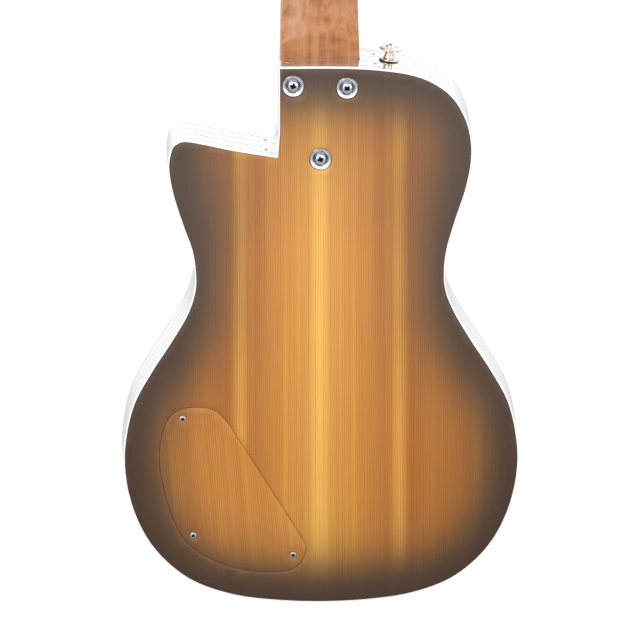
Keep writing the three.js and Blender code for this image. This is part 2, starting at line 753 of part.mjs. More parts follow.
// Blocks and cylinders in the headstock's frame: x across, y back from the face, z along it.
function headBlock([x0, x1], [y0, y1], [z0, z1]) {
  const geometry = new THREE.BoxGeometry(Math.abs(x1 - x0), y1 - y0, z1 - z0);
  return solid(geometry.translate((x0 + x1) / 2, (y0 + y1) / 2, (z0 + z1) / 2));
}

function crossCylinder(radius, x0, x1, z, segments = 10) {
  const geometry = new THREE.CylinderGeometry(radius, radius, Math.abs(x1 - x0), segments);
  return solid(geometry.rotateZ(Math.PI / 2).translate((x0 + x1) / 2, WORM_DEPTH, z));
}

function postCylinder(radius, y0, y1, x, z, segments = 12) {
  const geometry = new THREE.CylinderGeometry(radius, radius, y1 - y0, segments);
  return solid(geometry.translate(x, (y0 + y1) / 2, z));
}

function tunerPlate(side) {
  const { near, far, x0, x1 } = TUNER_PLATE;
  const ends = [POST_HEIGHTS[0] - 20, POST_HEIGHTS[2] + 14];
  let plate = headBlock([side * x0, side * x1], [near, far], ends);
  for (const height of POST_HEIGHTS) {
    const worm = height - WORM_OFFSET;
    for (const [a, b] of EARS) {
      const depths = [far - 0.5, WORM_DEPTH + EAR_HALF];
      plate = join(plate, headBlock([side * a, side * b], depths, [worm - EAR_HALF, worm + EAR_HALF]));
    }
    plate = cut(
      plate,
      crossCylinder(WORM_SHAFT + FIT, side * 10, side * 36, worm),
      postCylinder(POST_RADIUS + FIT, 10, 20, side * POST_X, height),
    );
  }
  return plate;
}

function tunerWorm(side, height) {
  const z = height - WORM_OFFSET;
  const shaft = crossCylinder(WORM_SHAFT, side * 13.2, side * (BUTTON_X - 4), z);
  const worm = crossCylinder(2.3, side * 16, side * 29, z, 12);
  const button = new THREE.SphereGeometry(1, 10, 6).rotateZ(Math.PI / 2).scale(7.6, 4.2, 9.4);
  return join(shaft, worm, solid(button.translate(side * BUTTON_X, WORM_DEPTH, z)));
}

// The string post and the toothed wheel on its lower end.
function tunerPost(side, height) {
  const root = GEAR_RADIUS - 1.3;
  const tooth = [[0.1, root], [0.35, GEAR_RADIUS], [0.65, GEAR_RADIUS], [0.9, root]];
  const teeth = [];
  for (let i = 0; i < GEAR_TEETH; i++)
    for (const [share, radius] of tooth) {
      const angle = (2 * Math.PI * (i + share)) / GEAR_TEETH;
      teeth.push(new THREE.Vector2(radius * Math.cos(angle), radius * Math.sin(angle)));
    }
  const wheel = new THREE.ExtrudeGeometry(new THREE.Shape(teeth), { depth: 3.6, bevelEnabled: false });
  wheel.rotateX(Math.PI / 2).translate(side * POST_X, WORM_DEPTH + 1.8, height);
  return join(solid(wheel), postCylinder(POST_RADIUS, -16, WORM_DEPTH, side * POST_X, height));
}

// Strings one to three run to the treble side's posts, from the nut upwards, four to six to the bass side's.
function tunerPlace(string) {
  const side = string <= 3 ? 1 : -1;
  const step = side > 0 ? string - 1 : 6 - string;
  return { side, height: POST_HEIGHTS[step] };
}

function addTuners(root) {
  const head = new THREE.Group();
  head.applyMatrix4(headFrame);
  root.add(head);
  piece(head, "tuner_plate_treble", tunerPlate(1), "nickel");
  piece(head, "tuner_plate_bass", tunerPlate(-1), "nickel");
  for (let string = 1; string <= 6; string++) {
    const { side, height } = tunerPlace(string);
    piece(head, `tuner_worm_${string}`, tunerWorm(side, height), "nickel");
    piece(head, `tuner_post_${string}`, tunerPost(side, height), "nickel");
  }
}

// ---------------------------------------------------------------- strings

const STRING_SIDES = 6;

// A thin tube through a few points, all of whose rings face up the neck.
function wire(points, radius) {
  const section = circle(0, 0, radius, STRING_SIDES);
  const ring = (centre) => section.map(({ x, y }) => new THREE.Vector3(x, y, 0).add(centre));
  return loft(points.map(ring));
}

function stringRoute(string) {
  const across = 3.5 - string;
  const radius = STRING_DIAMETERS[string - 1] / 2;
  const { side, height } = tunerPlace(string);
  const beside = side * (POST_X - POST_RADIUS - FIT - radius);
  const post = new THREE.Vector3(beside, -10, height).applyMatrix4(headFrame);
  const { bar, barZ } = TAILPIECE;
  return [
    new THREE.Vector3(across * SADDLE_SPACING, -bar - 0.4 - FIT - radius, barZ - 9.6),
    new THREE.Vector3(across * SADDLE_SPACING, -bar - 0.4 - FIT - radius, barZ),
    new THREE.Vector3(across * SADDLE_SPACING, -STRING_AT_SADDLE, SADDLE_Z),
    new THREE.Vector3(across * NUT_SPACING, -STRING_AT_NUT, NUT_Z + NUT_LENGTH / 2),
    post,
  ];
}

function addStrings(root) {
  for (let string = 1; string <= 6; string++) {
    const radius = STRING_DIAMETERS[string - 1] / 2;
    piece(root, `string_${string}`, wire(stringRoute(string), radius), "string_steel");
  }
}

// ---------------------------------------------------------------- the instrument

function buildGuitar() {
  const root = new THREE.Group();
  addBody(root);
  addControlCover(root);
  addResonator(root);
  addCoverplate(root);
  piece(root, "tailpiece", tailpiece(), "polished_metal");
  addNeck(root);
  addNeckBolts(root);
  addPickup(root);
  addControls(root);
  piece(root, "output_jack", outputJack(), "steel");
  addStrapButtons(root);
  addTuners(root);
  addStrings(root);
  root.position.set(0, HANGER.depth, -HANGER.z);
  return root;
}

export default buildGuitar();
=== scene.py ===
from math import atan2, cos, exp, hypot, log, pi, radians, sin, sqrt

import bmesh
import bpy
import numpy as np
from mathutils import Matrix, Vector
from mathutils.geometry import delaunay_2d_cdt


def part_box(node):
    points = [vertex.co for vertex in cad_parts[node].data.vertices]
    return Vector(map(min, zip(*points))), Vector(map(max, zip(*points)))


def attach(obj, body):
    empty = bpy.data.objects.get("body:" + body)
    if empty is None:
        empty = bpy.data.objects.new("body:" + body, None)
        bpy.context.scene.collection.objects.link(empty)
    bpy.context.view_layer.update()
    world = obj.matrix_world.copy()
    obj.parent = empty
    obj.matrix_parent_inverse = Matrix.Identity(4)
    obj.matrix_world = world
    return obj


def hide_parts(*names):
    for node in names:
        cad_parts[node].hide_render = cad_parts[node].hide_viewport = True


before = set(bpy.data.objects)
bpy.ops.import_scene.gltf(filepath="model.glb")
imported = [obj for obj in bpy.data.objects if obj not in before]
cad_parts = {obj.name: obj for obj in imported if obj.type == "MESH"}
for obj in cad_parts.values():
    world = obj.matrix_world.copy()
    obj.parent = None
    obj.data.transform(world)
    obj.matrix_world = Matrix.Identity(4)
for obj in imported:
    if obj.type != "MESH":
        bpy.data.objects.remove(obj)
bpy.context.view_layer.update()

BACK_LOW, BACK_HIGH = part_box("back_plate")
MM = 0.001
MM_TO_ROW = Matrix.Translation((0, BACK_HIGH.y, BACK_LOW.z)) @ Matrix.Scale(MM, 4)

# ---------------------------------------------------------------- dimensions, in millimetres

BODY_DEPTH = 60.0
BODY_TOP_Z = 430.8
PLATE = 4.0
FIT = 0.3
BAND = 1.0
BINDING = 3.4
NECK_FACE = 61.0
FRETBOARD_TOP = 67.5
FRETBOARD_END_Z = 342.0
HEEL_DEPTH = 25.0
NECK_THICKNESS = 15.5
SCALE_LENGTH = 635.0
SADDLE_Z = 148.0
NUT_Z = SADDLE_Z + SCALE_LENGTH
NUT_LENGTH = 5.0
NUT_WIDTH = 47.5
JOINT_WIDTH = 60.9
HEAD_TILT = 12.0
HEAD_START_Z = NUT_Z + NUT_LENGTH
HEAD_THICKNESS = 14.5
POST_X = 21.0
POST_HEIGHTS = (42.0, 80.0, 118.0)
POST_RADIUS = 3.0
WORM_OFFSET = 8.7
WORM_DEPTH = 19.2
GEAR_TEETH = 15
CONTROL_RING = 146.0
CONTROL_ANGLES = {"selector": -30.0, "volume": -43.0, "tone": -56.0}
STRING_DIAMETERS = (0.33, 0.43, 0.66, 0.91, 1.14, 1.42)
WOUND_FROM = 3  # strings from this one on are wound
NUT_SPACING = 7.9
SADDLE_SPACING = 10.8
STRING_AT_NUT = 69.3
STRING_AT_SADDLE = 72.4
FERRULE_RADIUS = 8.55
NECK_BOLTS = ((21.7, 416.8), (-20.3, 414.9), (0.4, 357.8))
COVER_SCREWS = ((108, 148.6), (99.8, 53.9), (21.8, 37.4))
BAND_SCREWS = ((41.6, (15.9, 44.1)), (27.0, (15.9,)), (-42.5, (15.9, 44.1)))
GROOVES = (8.8, 22.93, 37.07, 51.2)
JACK_X, JACK_DEPTH = 30, 32
TAIL_BAR, TAIL_BAR_Z = 68.6, 62.0
WORM_SHAFT = 1.6
BUTTON_X = 52.0
WIRE_GAP = 0.02
STRINGS = range(1, 7)
CREASE = 35  # degrees: faces that meet at more than this look creased

LOWER_BOUT = [
    (0, 0), (34, 1.4), (67, 5.9), (95.9, 15.6), (117, 30.2), (133.6, 49.5), (145.4, 73.9),
    (151.8, 101), (152.2, 128), (145.6, 159.5), (132.2, 185.5), (116.7, 210), (104, 232),
]
BASS_SHOULDER = [
    (-97, 249), (-95.1, 264), (-97, 284), (-103.4, 307.2), (-112, 334), (-116.2, 358), (-115, 378),
    (-109.4, 394.6), (-100, 408.5), (-85, 419.3), (-68, 425.4), (-50, 428.3), (-28, 430.2),
    (0, 430.8),
]
TREBLE_SHOULDER = [
    (98, 249.5), (96.9, 264), (99.4, 284), (106.5, 305), (114, 329), (117.8, 351), (115.8, 365.5),
    (112.2, 370.4), (105.4, 372.5), (90, 369.8), (71, 365.5), (50, 361.7),
]
CUTAWAY_CORNER = (33.2, 359)
CUTAWAY_WALL_X = 31.6
CONTROL_COVER_CURVE = [
    (13.8, 49.6), (11.9, 41.5), (16.4, 31), (26, 25.2), (43.3, 24.1), (61.2, 26.3), (79, 31.9),
    (98.7, 43.1), (111, 58), (121, 85.8), (126.2, 118), (121, 145), (110.5, 155.5), (96.9, 157.9),
    (82.6, 155.1), (71, 142.5),
]
HEAD_SIDE = [
    (24, -2), (25.5, 8), (31, 17), (36.5, 27), (37.8, 42), (37, 90), (36, 140), (34, 153), (27, 160),
    (14, 163), (0, 161),
]


FLOOR_REACH, FLOOR_LEVEL, FLOOR_GLOW = 200.0, -1.7, 1.02  # metres, metres and strength
CARD_ACROSS, CARD_AWAY, CARD_LOW, CARD_HIGH = 1.4, 2.9, -2.6, -0.75  # metres
WORLD_STRENGTH = 1.16
WORLD_SHADES = ((0.0, 0.45), (0.35, 0.6), (0.47, 0.95), (0.55, 1.0), (1.0, 1.0))


# ---------------------------------------------------------------- node materials

def srgb(red, green, blue):
    """A display colour, 0 to 255, as the linear colour that the shader takes."""
    def linear(value):
        value /= 255
        return value / 12.92 if value <= 0.04045 else ((value + 0.055) / 1.055) ** 2.4
    return (linear(red), linear(green), linear(blue), 1.0)


class Paint:
    """A material's node tree, with short calls for the nodes that these materials use."""

    def __init__(self, name, roughness=0.4, metallic=0.0, coat=0.0, specular=0.5, ior=1.5):
        self.material = bpy.data.materials.new(name)
        self.material.use_nodes = True
        self.tree = self.material.node_tree
        self.shader = self.tree.nodes["Principled BSDF"]
        self.shader.inputs["Roughness"].default_value = roughness
        self.shader.inputs["Metallic"].default_value = metallic
        self.shader.inputs["Coat Weight"].default_value = coat
        self.shader.inputs["Specular IOR Level"].default_value = specular
        self.shader.inputs["IOR"].default_value = ior
        self.coordinates = self.node("ShaderNodeTexCoord").outputs["Object"]

    def node(self, kind, **settings):
        made = self.tree.nodes.new(kind)
        for key, value in settings.items():
            setattr(made, key, value)
        return made

    def feed(self, socket, value):
        if isinstance(value, bpy.types.NodeSocket):
            self.tree.links.new(value, socket)
        elif value is not None:
            socket.default_value = value

    def math(self, operation, a, b=None, c=None, clamp=False):
        made = self.node("ShaderNodeMath", operation=operation, use_clamp=clamp)
        for socket, value in zip(made.inputs, (a, b, c)):
            self.feed(socket, value)
        return made.outputs[0]

    def times(self, a, b):
        return self.math("MULTIPLY", a, b)

    def times_plus(self, a, b, c):
        return self.math("MULTIPLY_ADD", a, b, c)

    def minus(self, a, b):
        return self.math("SUBTRACT", a, b)

    def axis(self, name, vector=None):
        made = self.node("ShaderNodeSeparateXYZ")
        self.feed(made.inputs[0], vector or self.coordinates)
        return made.outputs[name]

    def vector(self, x=0.0, y=0.0, z=0.0):
        made = self.node("ShaderNodeCombineXYZ")
        for socket, value in zip(made.inputs, (x, y, z)):
            self.feed(socket, value)
        return made.outputs[0]

    def on_board(self, across, along, fine, coarse):
        """Places for noise that is finer across a board's grain than along it."""
        return self.vector(self.times(across, fine), 0.0, self.times(along, coarse))

    def stretched(self, scale, turn=(0, 0, 0)):
        made = self.node("ShaderNodeMapping")
        self.feed(made.inputs["Vector"], self.coordinates)
        made.inputs["Scale"].default_value = scale
        made.inputs["Rotation"].default_value = turn
        return made.outputs[0]

    def noise(self, vector, detail=2.0, roughness=0.5):
        made = self.node("ShaderNodeTexNoise")
        self.feed(made.inputs["Vector"], vector)
        made.inputs["Scale"].default_value = 1.0
        made.inputs["Detail"].default_value = detail
        made.inputs["Roughness"].default_value = roughness
        return made.outputs["Fac"]

    def cloud(self, scale, detail=2.0, roughness=0.5):
        """Noise over the object, with a fineness of its own along x, y and z."""
        return self.noise(self.stretched(scale), detail, roughness)

    def ramp(self, value, *stops, ease="LINEAR"):
        """Colours or greys at places from 0 to 1."""
        made = self.node("ShaderNodeValToRGB")
        made.color_ramp.interpolation = ease
        elements = made.color_ramp.elements
        while len(elements) < len(stops):
            elements.new(0.5)
        for element, (place, colour) in zip(elements, stops):
            element.position = place
            element.color = colour if isinstance(colour, tuple) else (colour, colour, colour, 1)
        self.feed(made.inputs[0], value)
        return made.outputs[0]

    def tones(self, value, *stops):
        """Display colours, 0 to 255, at places from 0 to 1."""
        return self.ramp(value, *((at, srgb(*colour)) for at, *colour in stops))

    def mix(self, share, a, b, blend="MIX"):
        made = self.node("ShaderNodeMix", data_type="RGBA", blend_type=blend)
        self.feed(made.inputs[0], share)
        self.feed(made.inputs[6], a)
        self.feed(made.inputs[7], b)
        return made.outputs[2]

    def colour(self, value):
        self.feed(self.shader.inputs["Base Color"], value)
        return self

    def rough(self, value):
        self.feed(self.shader.inputs["Roughness"], value)
        return self

    def bump(self, height, strength=0.3, distance=0.0002):
        made = self.node("ShaderNodeBump")
        made.inputs["Strength"].default_value = strength
        made.inputs["Distance"].default_value = distance
        self.feed(made.inputs["Height"], height)
        self.feed(self.shader.inputs["Normal"], made.outputs[0])
        return self


BOOK_HALF = 160.0  # the stripes' ramp reaches this far from the seam, in millimetres
BOOK_STRIPES = (  # how the two matched boards' colour runs outwards from the seam
    (0, (232, 179, 86)), (3, (232, 179, 86)), (6, (223, 165, 73)), (9, (215, 153, 65)),
    (12, (210, 147, 61)), (24, (208, 145, 59)), (27, (213, 150, 62)), (30, (202, 136, 54)),
    (33, (199, 132, 53)), (42, (192, 126, 52)), (51, (183, 117, 49)), (54, (189, 123, 48)),
    (57, (198, 132, 52)), (60, (210, 148, 64)), (63, (218, 160, 74)), (66, (201, 135, 53)),
    (69, (182, 115, 45)), (75, (176, 110, 44)), (84, (183, 117, 47)), (119, (180, 116, 48)),
    (124, (192, 132, 61)), (129, (176, 113, 47)), (150, (170, 108, 47)),
)
BURST_REACH = 100.0  # millimetres from the edge where the sunburst has faded out
BURST_COLOURS = (
    (0, (71, 51, 38)), (8, (76, 56, 42)), (14, (83, 61, 44)), (22, (92, 66, 44)), (60, (114, 77, 42)),
)
BURST_SHARES = (
    (0, 0.0), (12, 0.01), (18, 0.06), (26, 0.20), (32, 0.36), (40, 0.56), (50, 0.75), (62, 0.88),
    (78, 0.96), (94, 1.0),
)


def growth_lines(paint, across, along, per_metre):
    """Softwood's fine dark growth lines: 0 between them and up to 1 on them, uneven in strength."""
    drift = paint.noise(paint.on_board(across, along, 30.0, 1.6))
    phase = paint.times_plus(across, per_metre, paint.times(drift, 5.0))
    wave = paint.times_plus(paint.math("SINE", paint.times(phase, 2 * pi)), 0.5, 0.5)
    sharp = paint.math("POWER", wave, 1.5)
    strength = paint.noise(paint.on_board(across, along, 230.0, 1.4), 3.0)
    strength = paint.ramp(strength, (0.36, 0.12), (0.64, 1.0))
    return paint.times(sharp, strength)


def softwood(across, along, wood, line_depth=0.26):
    """Finishes a quarter-sawn softwood: fine lines and fibres over the colour given."""
    paint, colour = wood
    lines = growth_lines(paint, across, along, 600.0)
    fibres = paint.noise(paint.on_board(across, along, 2600.0, 42.0))
    fleck = paint.ramp(fibres, (0.3, 0.90), (0.7, 1.0))
    dark = paint.mix(1.0, colour, srgb(196, 150, 112), "MULTIPLY")
    lined = paint.mix(paint.times(lines, line_depth * 2.4), colour, dark)
    return paint.mix(1.0, lined, fleck, "MULTIPLY"), lines


def sprayed(paint, grained, lines):
    """The dark sunburst over the wood: it fades inwards with the mesh's edge attribute."""
    edge = paint.node("ShaderNodeAttribute", attribute_name="edge").outputs["Fac"]
    cloud = paint.cloud((14, 14, 7), 3.0)
    reach = paint.times_plus(cloud, 0.010, paint.minus(edge, 0.005))
    reach = paint.math("DIVIDE", reach, BURST_REACH * MM, clamp=True)
    shade = paint.ramp(reach, *((at / BURST_REACH, srgb(*colour)) for at, colour in BURST_COLOURS))
    share = paint.ramp(reach, *((at / BURST_REACH, grey) for at, grey in BURST_SHARES), ease="B_SPLINE")
    shade = paint.mix(paint.times(lines, 0.35), shade, srgb(42, 33, 30))
    return paint.mix(share, shade, grained)


def painted_height_light(paint, colour):
    """Painted light: the colour is a little brighter higher up the body, falling off again near the top,
    and a milky painted reflection over it grows with height.
    """
    low = MM_TO_ROW.translation.z
    height = paint.math("DIVIDE", paint.minus(paint.axis("Z"), low), 0.4308, clamp=True)
    climb = paint.ramp(height, (0.23, 0.90), (0.48, 0.99), (0.66, 1.0), (0.84, 0.89))
    brighter = paint.times(climb, 1.11)
    # Painted reflection: a pale veil mixed in more strongly higher up.
    painted_reflection = paint.ramp(height, (0.25, 0.0), (0.75, 0.035))
    return paint.mix(painted_reflection, paint.mix(1.0, colour, brighter, "MULTIPLY"), srgb(240, 232, 226))


def sunburst_wood(name):
    """Two book-matched boards under a dark sunburst, which fades with the mesh's edge attribute."""
    paint = Paint(name, roughness=0.42, coat=0.10, specular=0.30)
    paint.shader.inputs["Coat Roughness"].default_value = 0.3
    along = paint.axis("Z")
    across = paint.math("ABSOLUTE", paint.minus(paint.axis("X"), 0.0012))
    wander = paint.noise(paint.vector(0.0, 0.0, paint.times(along, 3.0)), 1.0)
    shifted = paint.times_plus(wander, 0.003, paint.minus(across, 0.0015))
    place = paint.math("DIVIDE", shifted, BOOK_HALF * MM, clamp=True)
    wood = paint.ramp(place, *((at / BOOK_HALF, srgb(*colour)) for at, colour in BOOK_STRIPES))
    grained, lines = softwood(across, along, (paint, wood))

    # Painted light: brightness that rises with height and a painted reflection go over the sunburst.
    paint.colour(painted_height_light(paint, sprayed(paint, grained, lines)))
    paint.rough(paint.ramp(paint.cloud((60, 60, 12), 3.0), (0.3, 0.38), (0.7, 0.48)))
    return paint.bump(lines, 0.16, 0.00012).material


def cover_wood(name):
    """A warmer softwood offcut whose grain leans a few degrees."""
    paint = Paint(name, roughness=0.42, coat=0.12, specular=0.35)
    turned = paint.stretched((1, 1, 1), (0, radians(-5), 0))
    across = paint.axis("X", turned)
    along = paint.axis("Z", turned)
    band = paint.noise(paint.on_board(across, along, 45.0, 2.0))
    base = paint.tones(band, (0.3, 186, 120, 54), (0.5, 203, 135, 59), (0.7, 218, 150, 67))
    grained, lines = softwood(across, along, (paint, base), 0.24)
    paint.colour(sprayed(paint, grained, lines))
    return paint.bump(lines, 0.16, 0.00012).material


def roasted_maple(name):
    paint = Paint(name, roughness=0.34, coat=0.15, specular=0.4)
    paint.shader.inputs["Coat Roughness"].default_value = 0.25
    streaks = paint.cloud((220, 220, 7), 4.0, 0.6)
    base = paint.tones(streaks, (0.28, 138, 85, 47), (0.5, 167, 109, 66), (0.72, 189, 131, 84))
    curl = paint.cloud((36, 36, 105))
    figured = paint.mix(paint.ramp(curl, (0.42, 0.0), (0.62, 0.34)), base, srgb(202, 147, 99))
    spots = paint.node("ShaderNodeTexVoronoi")
    paint.feed(spots.inputs["Vector"], paint.stretched((190, 190, 120)))
    eye = paint.ramp(spots.outputs["Distance"], (0.0, 1.0), (0.10, 0.75), (0.2, 0.0))
    rare = paint.ramp(paint.cloud((40, 40, 25)), (0.52, 0.0), (0.62, 0.55))
    figured = paint.mix(paint.times(eye, rare), figured, srgb(128, 74, 38))
    pores = paint.cloud((1700, 1700, 60))
    flecked = paint.mix(paint.ramp(pores, (0.60, 0.0), (0.72, 0.35)), figured, srgb(120, 70, 38))
    paint.colour(flecked)
    paint.rough(paint.ramp(streaks, (0.3, 0.30), (0.7, 0.40)))
    return paint.bump(pores, 0.08, 0.0001).material


def frame_wood(name):
    paint = Paint(name, roughness=0.7)
    lines = growth_lines(paint, paint.axis("X"), paint.axis("Z"), 520.0)
    tone = paint.cloud((50, 50, 9), 3.0)
    base = paint.tones(tone, (0.3, 188, 152, 106), (0.7, 216, 184, 138))
    paint.colour(paint.mix(paint.times(lines, 0.4), base, srgb(150, 110, 70)))
    return paint.bump(tone, 0.2, 0.0002).material


def ebony(name):
    paint = Paint(name, roughness=0.46, specular=0.4)
    streaks = paint.cloud((420, 420, 10), 4.0, 0.6)
    pores = paint.cloud((2400, 2400, 130))
    base = paint.tones(streaks, (0.3, 26, 20, 18), (0.6, 44, 33, 28), (0.78, 70, 52, 42))
    paint.colour(paint.mix(paint.ramp(pores, (0.6, 0.0), (0.7, 0.6)), base, srgb(12, 9, 8)))
    paint.rough(paint.ramp(pores, (0.4, 0.40), (0.7, 0.62)))
    return paint.bump(pores, 0.25, 0.0001).material


def bone(name):
    paint = Paint(name, roughness=0.3, specular=0.5)
    paint.shader.inputs["Subsurface Weight"].default_value = 0.08
    paint.shader.inputs["Subsurface Radius"].default_value = (0.002, 0.0015, 0.001)
    tone = paint.cloud((500, 900, 500), 3.0)
    paint.colour(paint.tones(tone, (0.3, 222, 212, 186), (0.7, 240, 233, 214)))
    return paint.bump(tone, 0.06, 0.0001).material


def binding_plastic(name):
    paint = Paint(name, roughness=0.22, specular=0.5)
    tone = paint.cloud((70, 70, 70), 3.0)
    scuff = paint.cloud((900, 900, 300))
    paint.colour(paint.tones(tone, (0.3, 240, 238, 232), (0.7, 250, 249, 246)))
    paint.rough(paint.ramp(scuff, (0.45, 0.18), (0.75, 0.34)))
    return paint.bump(scuff, 0.04, 0.0001).material


def plated(name, light, dark, roughness, scratch=0.12, wear=0.25):
    """Polished or plated metal with hairline scratches and a faint cloud of tarnish."""
    paint = Paint(name, roughness=roughness, metallic=1.0)
    cloud = paint.cloud((55, 55, 55), 4.0, 0.6)
    hair = paint.cloud((2600, 2600, 240), 3.0, 0.7)
    paint.colour(paint.mix(paint.ramp(cloud, (0.45, 0.0), (0.75, wear)), srgb(*light), srgb(*dark)))
    smudge = paint.times_plus(paint.ramp(cloud, (0.4, 0.0), (0.8, 1.0)), 0.10, roughness)
    paint.rough(paint.times_plus(hair, scratch * 0.5, smudge))
    return paint.bump(hair, scratch * 0.25, 0.00005).material


def spun_metal(name, centre_z):
    """Aluminium with the rings that spinning leaves, round the resonator's axis."""
    paint = Paint(name, roughness=0.3, metallic=1.0)
    z = paint.minus(paint.axis("Z"), centre_z)
    x = paint.axis("X")
    radius = paint.math("SQRT", paint.math("ADD", paint.times(x, x), paint.times(z, z)))
    rings = paint.noise(paint.vector(paint.times(radius, 2200.0)), 3.0, 0.7)
    cloud = paint.cloud((40, 40, 40), 3.0)
    tarnish = paint.ramp(cloud, (0.4, 0.0), (0.7, 0.4))
    paint.colour(paint.mix(tarnish, srgb(214, 216, 219), srgb(184, 187, 190)))
    paint.rough(paint.ramp(rings, (0.3, 0.22), (0.7, 0.42)))
    return paint.bump(rings, 0.35, 0.0001).material


def black_plastic(name):
    paint = Paint(name, roughness=0.42, specular=0.45)
    grain = paint.cloud((1500, 1500, 1500))
    tone = paint.cloud((60, 60, 60))
    paint.colour(paint.tones(tone, (0.3, 22, 22, 23), (0.7, 31, 31, 32)))
    paint.rough(paint.ramp(tone, (0.3, 0.36), (0.7, 0.5)))
    return paint.bump(grain, 0.15, 0.0001).material


def wound_wire(name, tint, turns_per_metre):
    """String wire: the wrap shows as fine rings along the string."""
    paint = Paint(name, roughness=0.28, metallic=1.0)
    wrap = paint.math("SINE", paint.times(paint.axis("Z"), 2 * pi * turns_per_metre))
    tone = paint.cloud((90, 90, 40))
    light = tuple(min(255, part + 14) for part in tint)
    paint.colour(paint.tones(tone, (0.3, *tint), (0.7, *light)))
    paint.rough(paint.ramp(tone, (0.3, 0.24), (0.7, 0.36)))
    return paint.bump(wrap, 0.5, 0.00012).material


def pearl(name):
    paint = Paint(name, roughness=0.2, specular=0.6)
    swirl = paint.cloud((420, 420, 260), 4.0, 0.7)
    paint.colour(paint.tones(swirl, (0.3, 206, 214, 212), (0.5, 236, 232, 224), (0.7, 222, 226, 236)))
    return paint.bump(swirl, 0.05, 0.0001).material


def glowing_white(name):
    """The floor's white, which takes no shade from the object."""
    made = bpy.data.materials.new(name)
    made.use_nodes = True
    tree = made.node_tree
    glow = tree.nodes.new("ShaderNodeEmission")
    glow.inputs["Color"].default_value = (1, 1, 1, 1)
    glow.inputs["Strength"].default_value = FLOOR_GLOW
    tree.links.new(glow.outputs[0], tree.nodes["Material Output"].inputs["Surface"])
    return made


SUNBURST = sunburst_wood("sunburst_wood")
COVER_WOOD = cover_wood("cover_wood")
MAPLE = roasted_maple("roasted_maple")
FRAME_WOOD = frame_wood("frame_wood")
EBONY = ebony("ebony")
BONE = bone("bone")
BINDING_PLASTIC = binding_plastic("binding_plastic")
BAND_METAL = plated("band_metal", (246, 247, 249), (224, 226, 230), 0.07, 0.06, 0.15)
# Painted shade: a darker grey metal for the bottoms of the band's grooves and for its rims.
GROOVE_SHADE_METAL = plated("groove_painted_shade", (150, 150, 153), (112, 112, 115), 0.35, 0.2)
CHROME = plated("chrome", (232, 234, 237), (206, 208, 212), 0.05, 0.05)
NICKEL = plated("nickel", (222, 214, 202), (186, 172, 150), 0.10, 0.10, 0.35)
FERRULE = plated("ferrule_plating", (228, 230, 234), (196, 198, 203), 0.10, 0.10, 0.3)
# Painted shade: a near-black lining for the cross recesses, standing in for the shadow inside them.
PAINTED_SHADE_RECESS = plated("recess_painted_shade", (52, 50, 50), (34, 32, 32), 0.45, 0.3)
STEEL = plated("steel", (182, 184, 188), (146, 147, 150), 0.26, 0.2)
SCREW_STEEL = plated("screw_steel", (196, 194, 190), (132, 126, 118), 0.2, 0.2, 0.45)
CONE_METAL = spun_metal("spun_aluminium", (MM_TO_ROW @ Vector((0, 0, SADDLE_Z))).z)
BLACK = black_plastic("black_plastic")
PLAIN_WIRE = wound_wire("plain_wire", (205, 203, 198), 40)
WOUND_WIRE = wound_wire("wound_wire", (196, 176, 142), 3200)
PEARL = pearl("pearl")


# ---------------------------------------------------------------- outlines

def catmull(points, steps):
    """A smooth open run through the points."""
    line = np.array(points, float)
    padded = np.vstack([line[:1], line, line[-1:]])
    out = []
    for i in range(len(line) - 1):
        a, b, c, d = padded[i:i + 4]
        for t in np.arange(steps) / steps:
            out.append(0.5 * (2 * b + (c - a) * t + (2 * a - 5 * b + 4 * c - d) * t * t
                              + (3 * b - a - 3 * c + d) * t ** 3))
    out.append(line[-1])
    return np.array(out)


def mirrored(points):
    return [(-x, z) for x, z in points][::-1]


def both_sides(side):
    """A closed loop from its half, which starts and ends on the middle line."""
    return np.vstack([side, (side * (-1, 1))[::-1][1:-1]])


def body_outline():
    run = [(CUTAWAY_WALL_X, BODY_TOP_Z)] + BASS_SHOULDER[::-1] + mirrored(LOWER_BOUT)
    run += LOWER_BOUT[1:] + TREBLE_SHOULDER + [CUTAWAY_CORNER]
    wall = [(CUTAWAY_WALL_X, z) for z in np.linspace(380, BODY_TOP_Z, 8)[:-1]]
    return np.vstack([catmull(run, 8), wall])


def circle(x, z, radius, segments=48):
    angles = np.linspace(0, 2 * pi, segments, endpoint=False)
    return np.column_stack([x + radius * np.cos(angles), z + radius * np.sin(angles)])


def offset(loop, distance):
    """The loop, anticlockwise, moved outwards, or inwards if distance is negative."""
    loop = np.asarray(loop, float)
    ahead = np.roll(loop, -1, axis=0) - loop
    normal = np.column_stack([ahead[:, 1], -ahead[:, 0]])
    normal /= np.linalg.norm(normal, axis=1)[:, None]
    before = np.roll(normal, 1, axis=0)
    share = distance / (1 + np.sum(before * normal, axis=1))
    return loop + (before + normal) * share[:, None]


def distance_to(loop, points):
    """Each point's distance to the closed loop."""
    best = np.full(len(points), np.inf)
    for a, b in zip(loop, np.roll(loop, -1, axis=0)):
        along = b - a
        t = np.clip(((points - a) @ along) / max(along @ along, 1e-9), 0, 1)
        best = np.minimum(best, np.linalg.norm(points - a - t[:, None] * along, axis=1))
    return best


def inside(loops, points):
    """Whether each point is inside an odd number of the loops."""
    odd = np.zeros(len(points), bool)
    for loop in loops:
        for a, b in zip(loop, np.roll(loop, -1, axis=0)):
            if a[1] == b[1]:
                continue
            crosses = (a[1] > points[:, 1]) != (b[1] > points[:, 1])
            x = a[0] + (points[:, 1] - a[1]) * (b[0] - a[0]) / (b[1] - a[1])
            odd ^= crosses & (points[:, 0] < x)
    return odd


def burst_outline():
    """The sunburst was sprayed as if the body had no cutaway: its bass side, twice."""
    return both_sides(catmull([(-x, z) for x, z in LOWER_BOUT] + BASS_SHOULDER, 4))


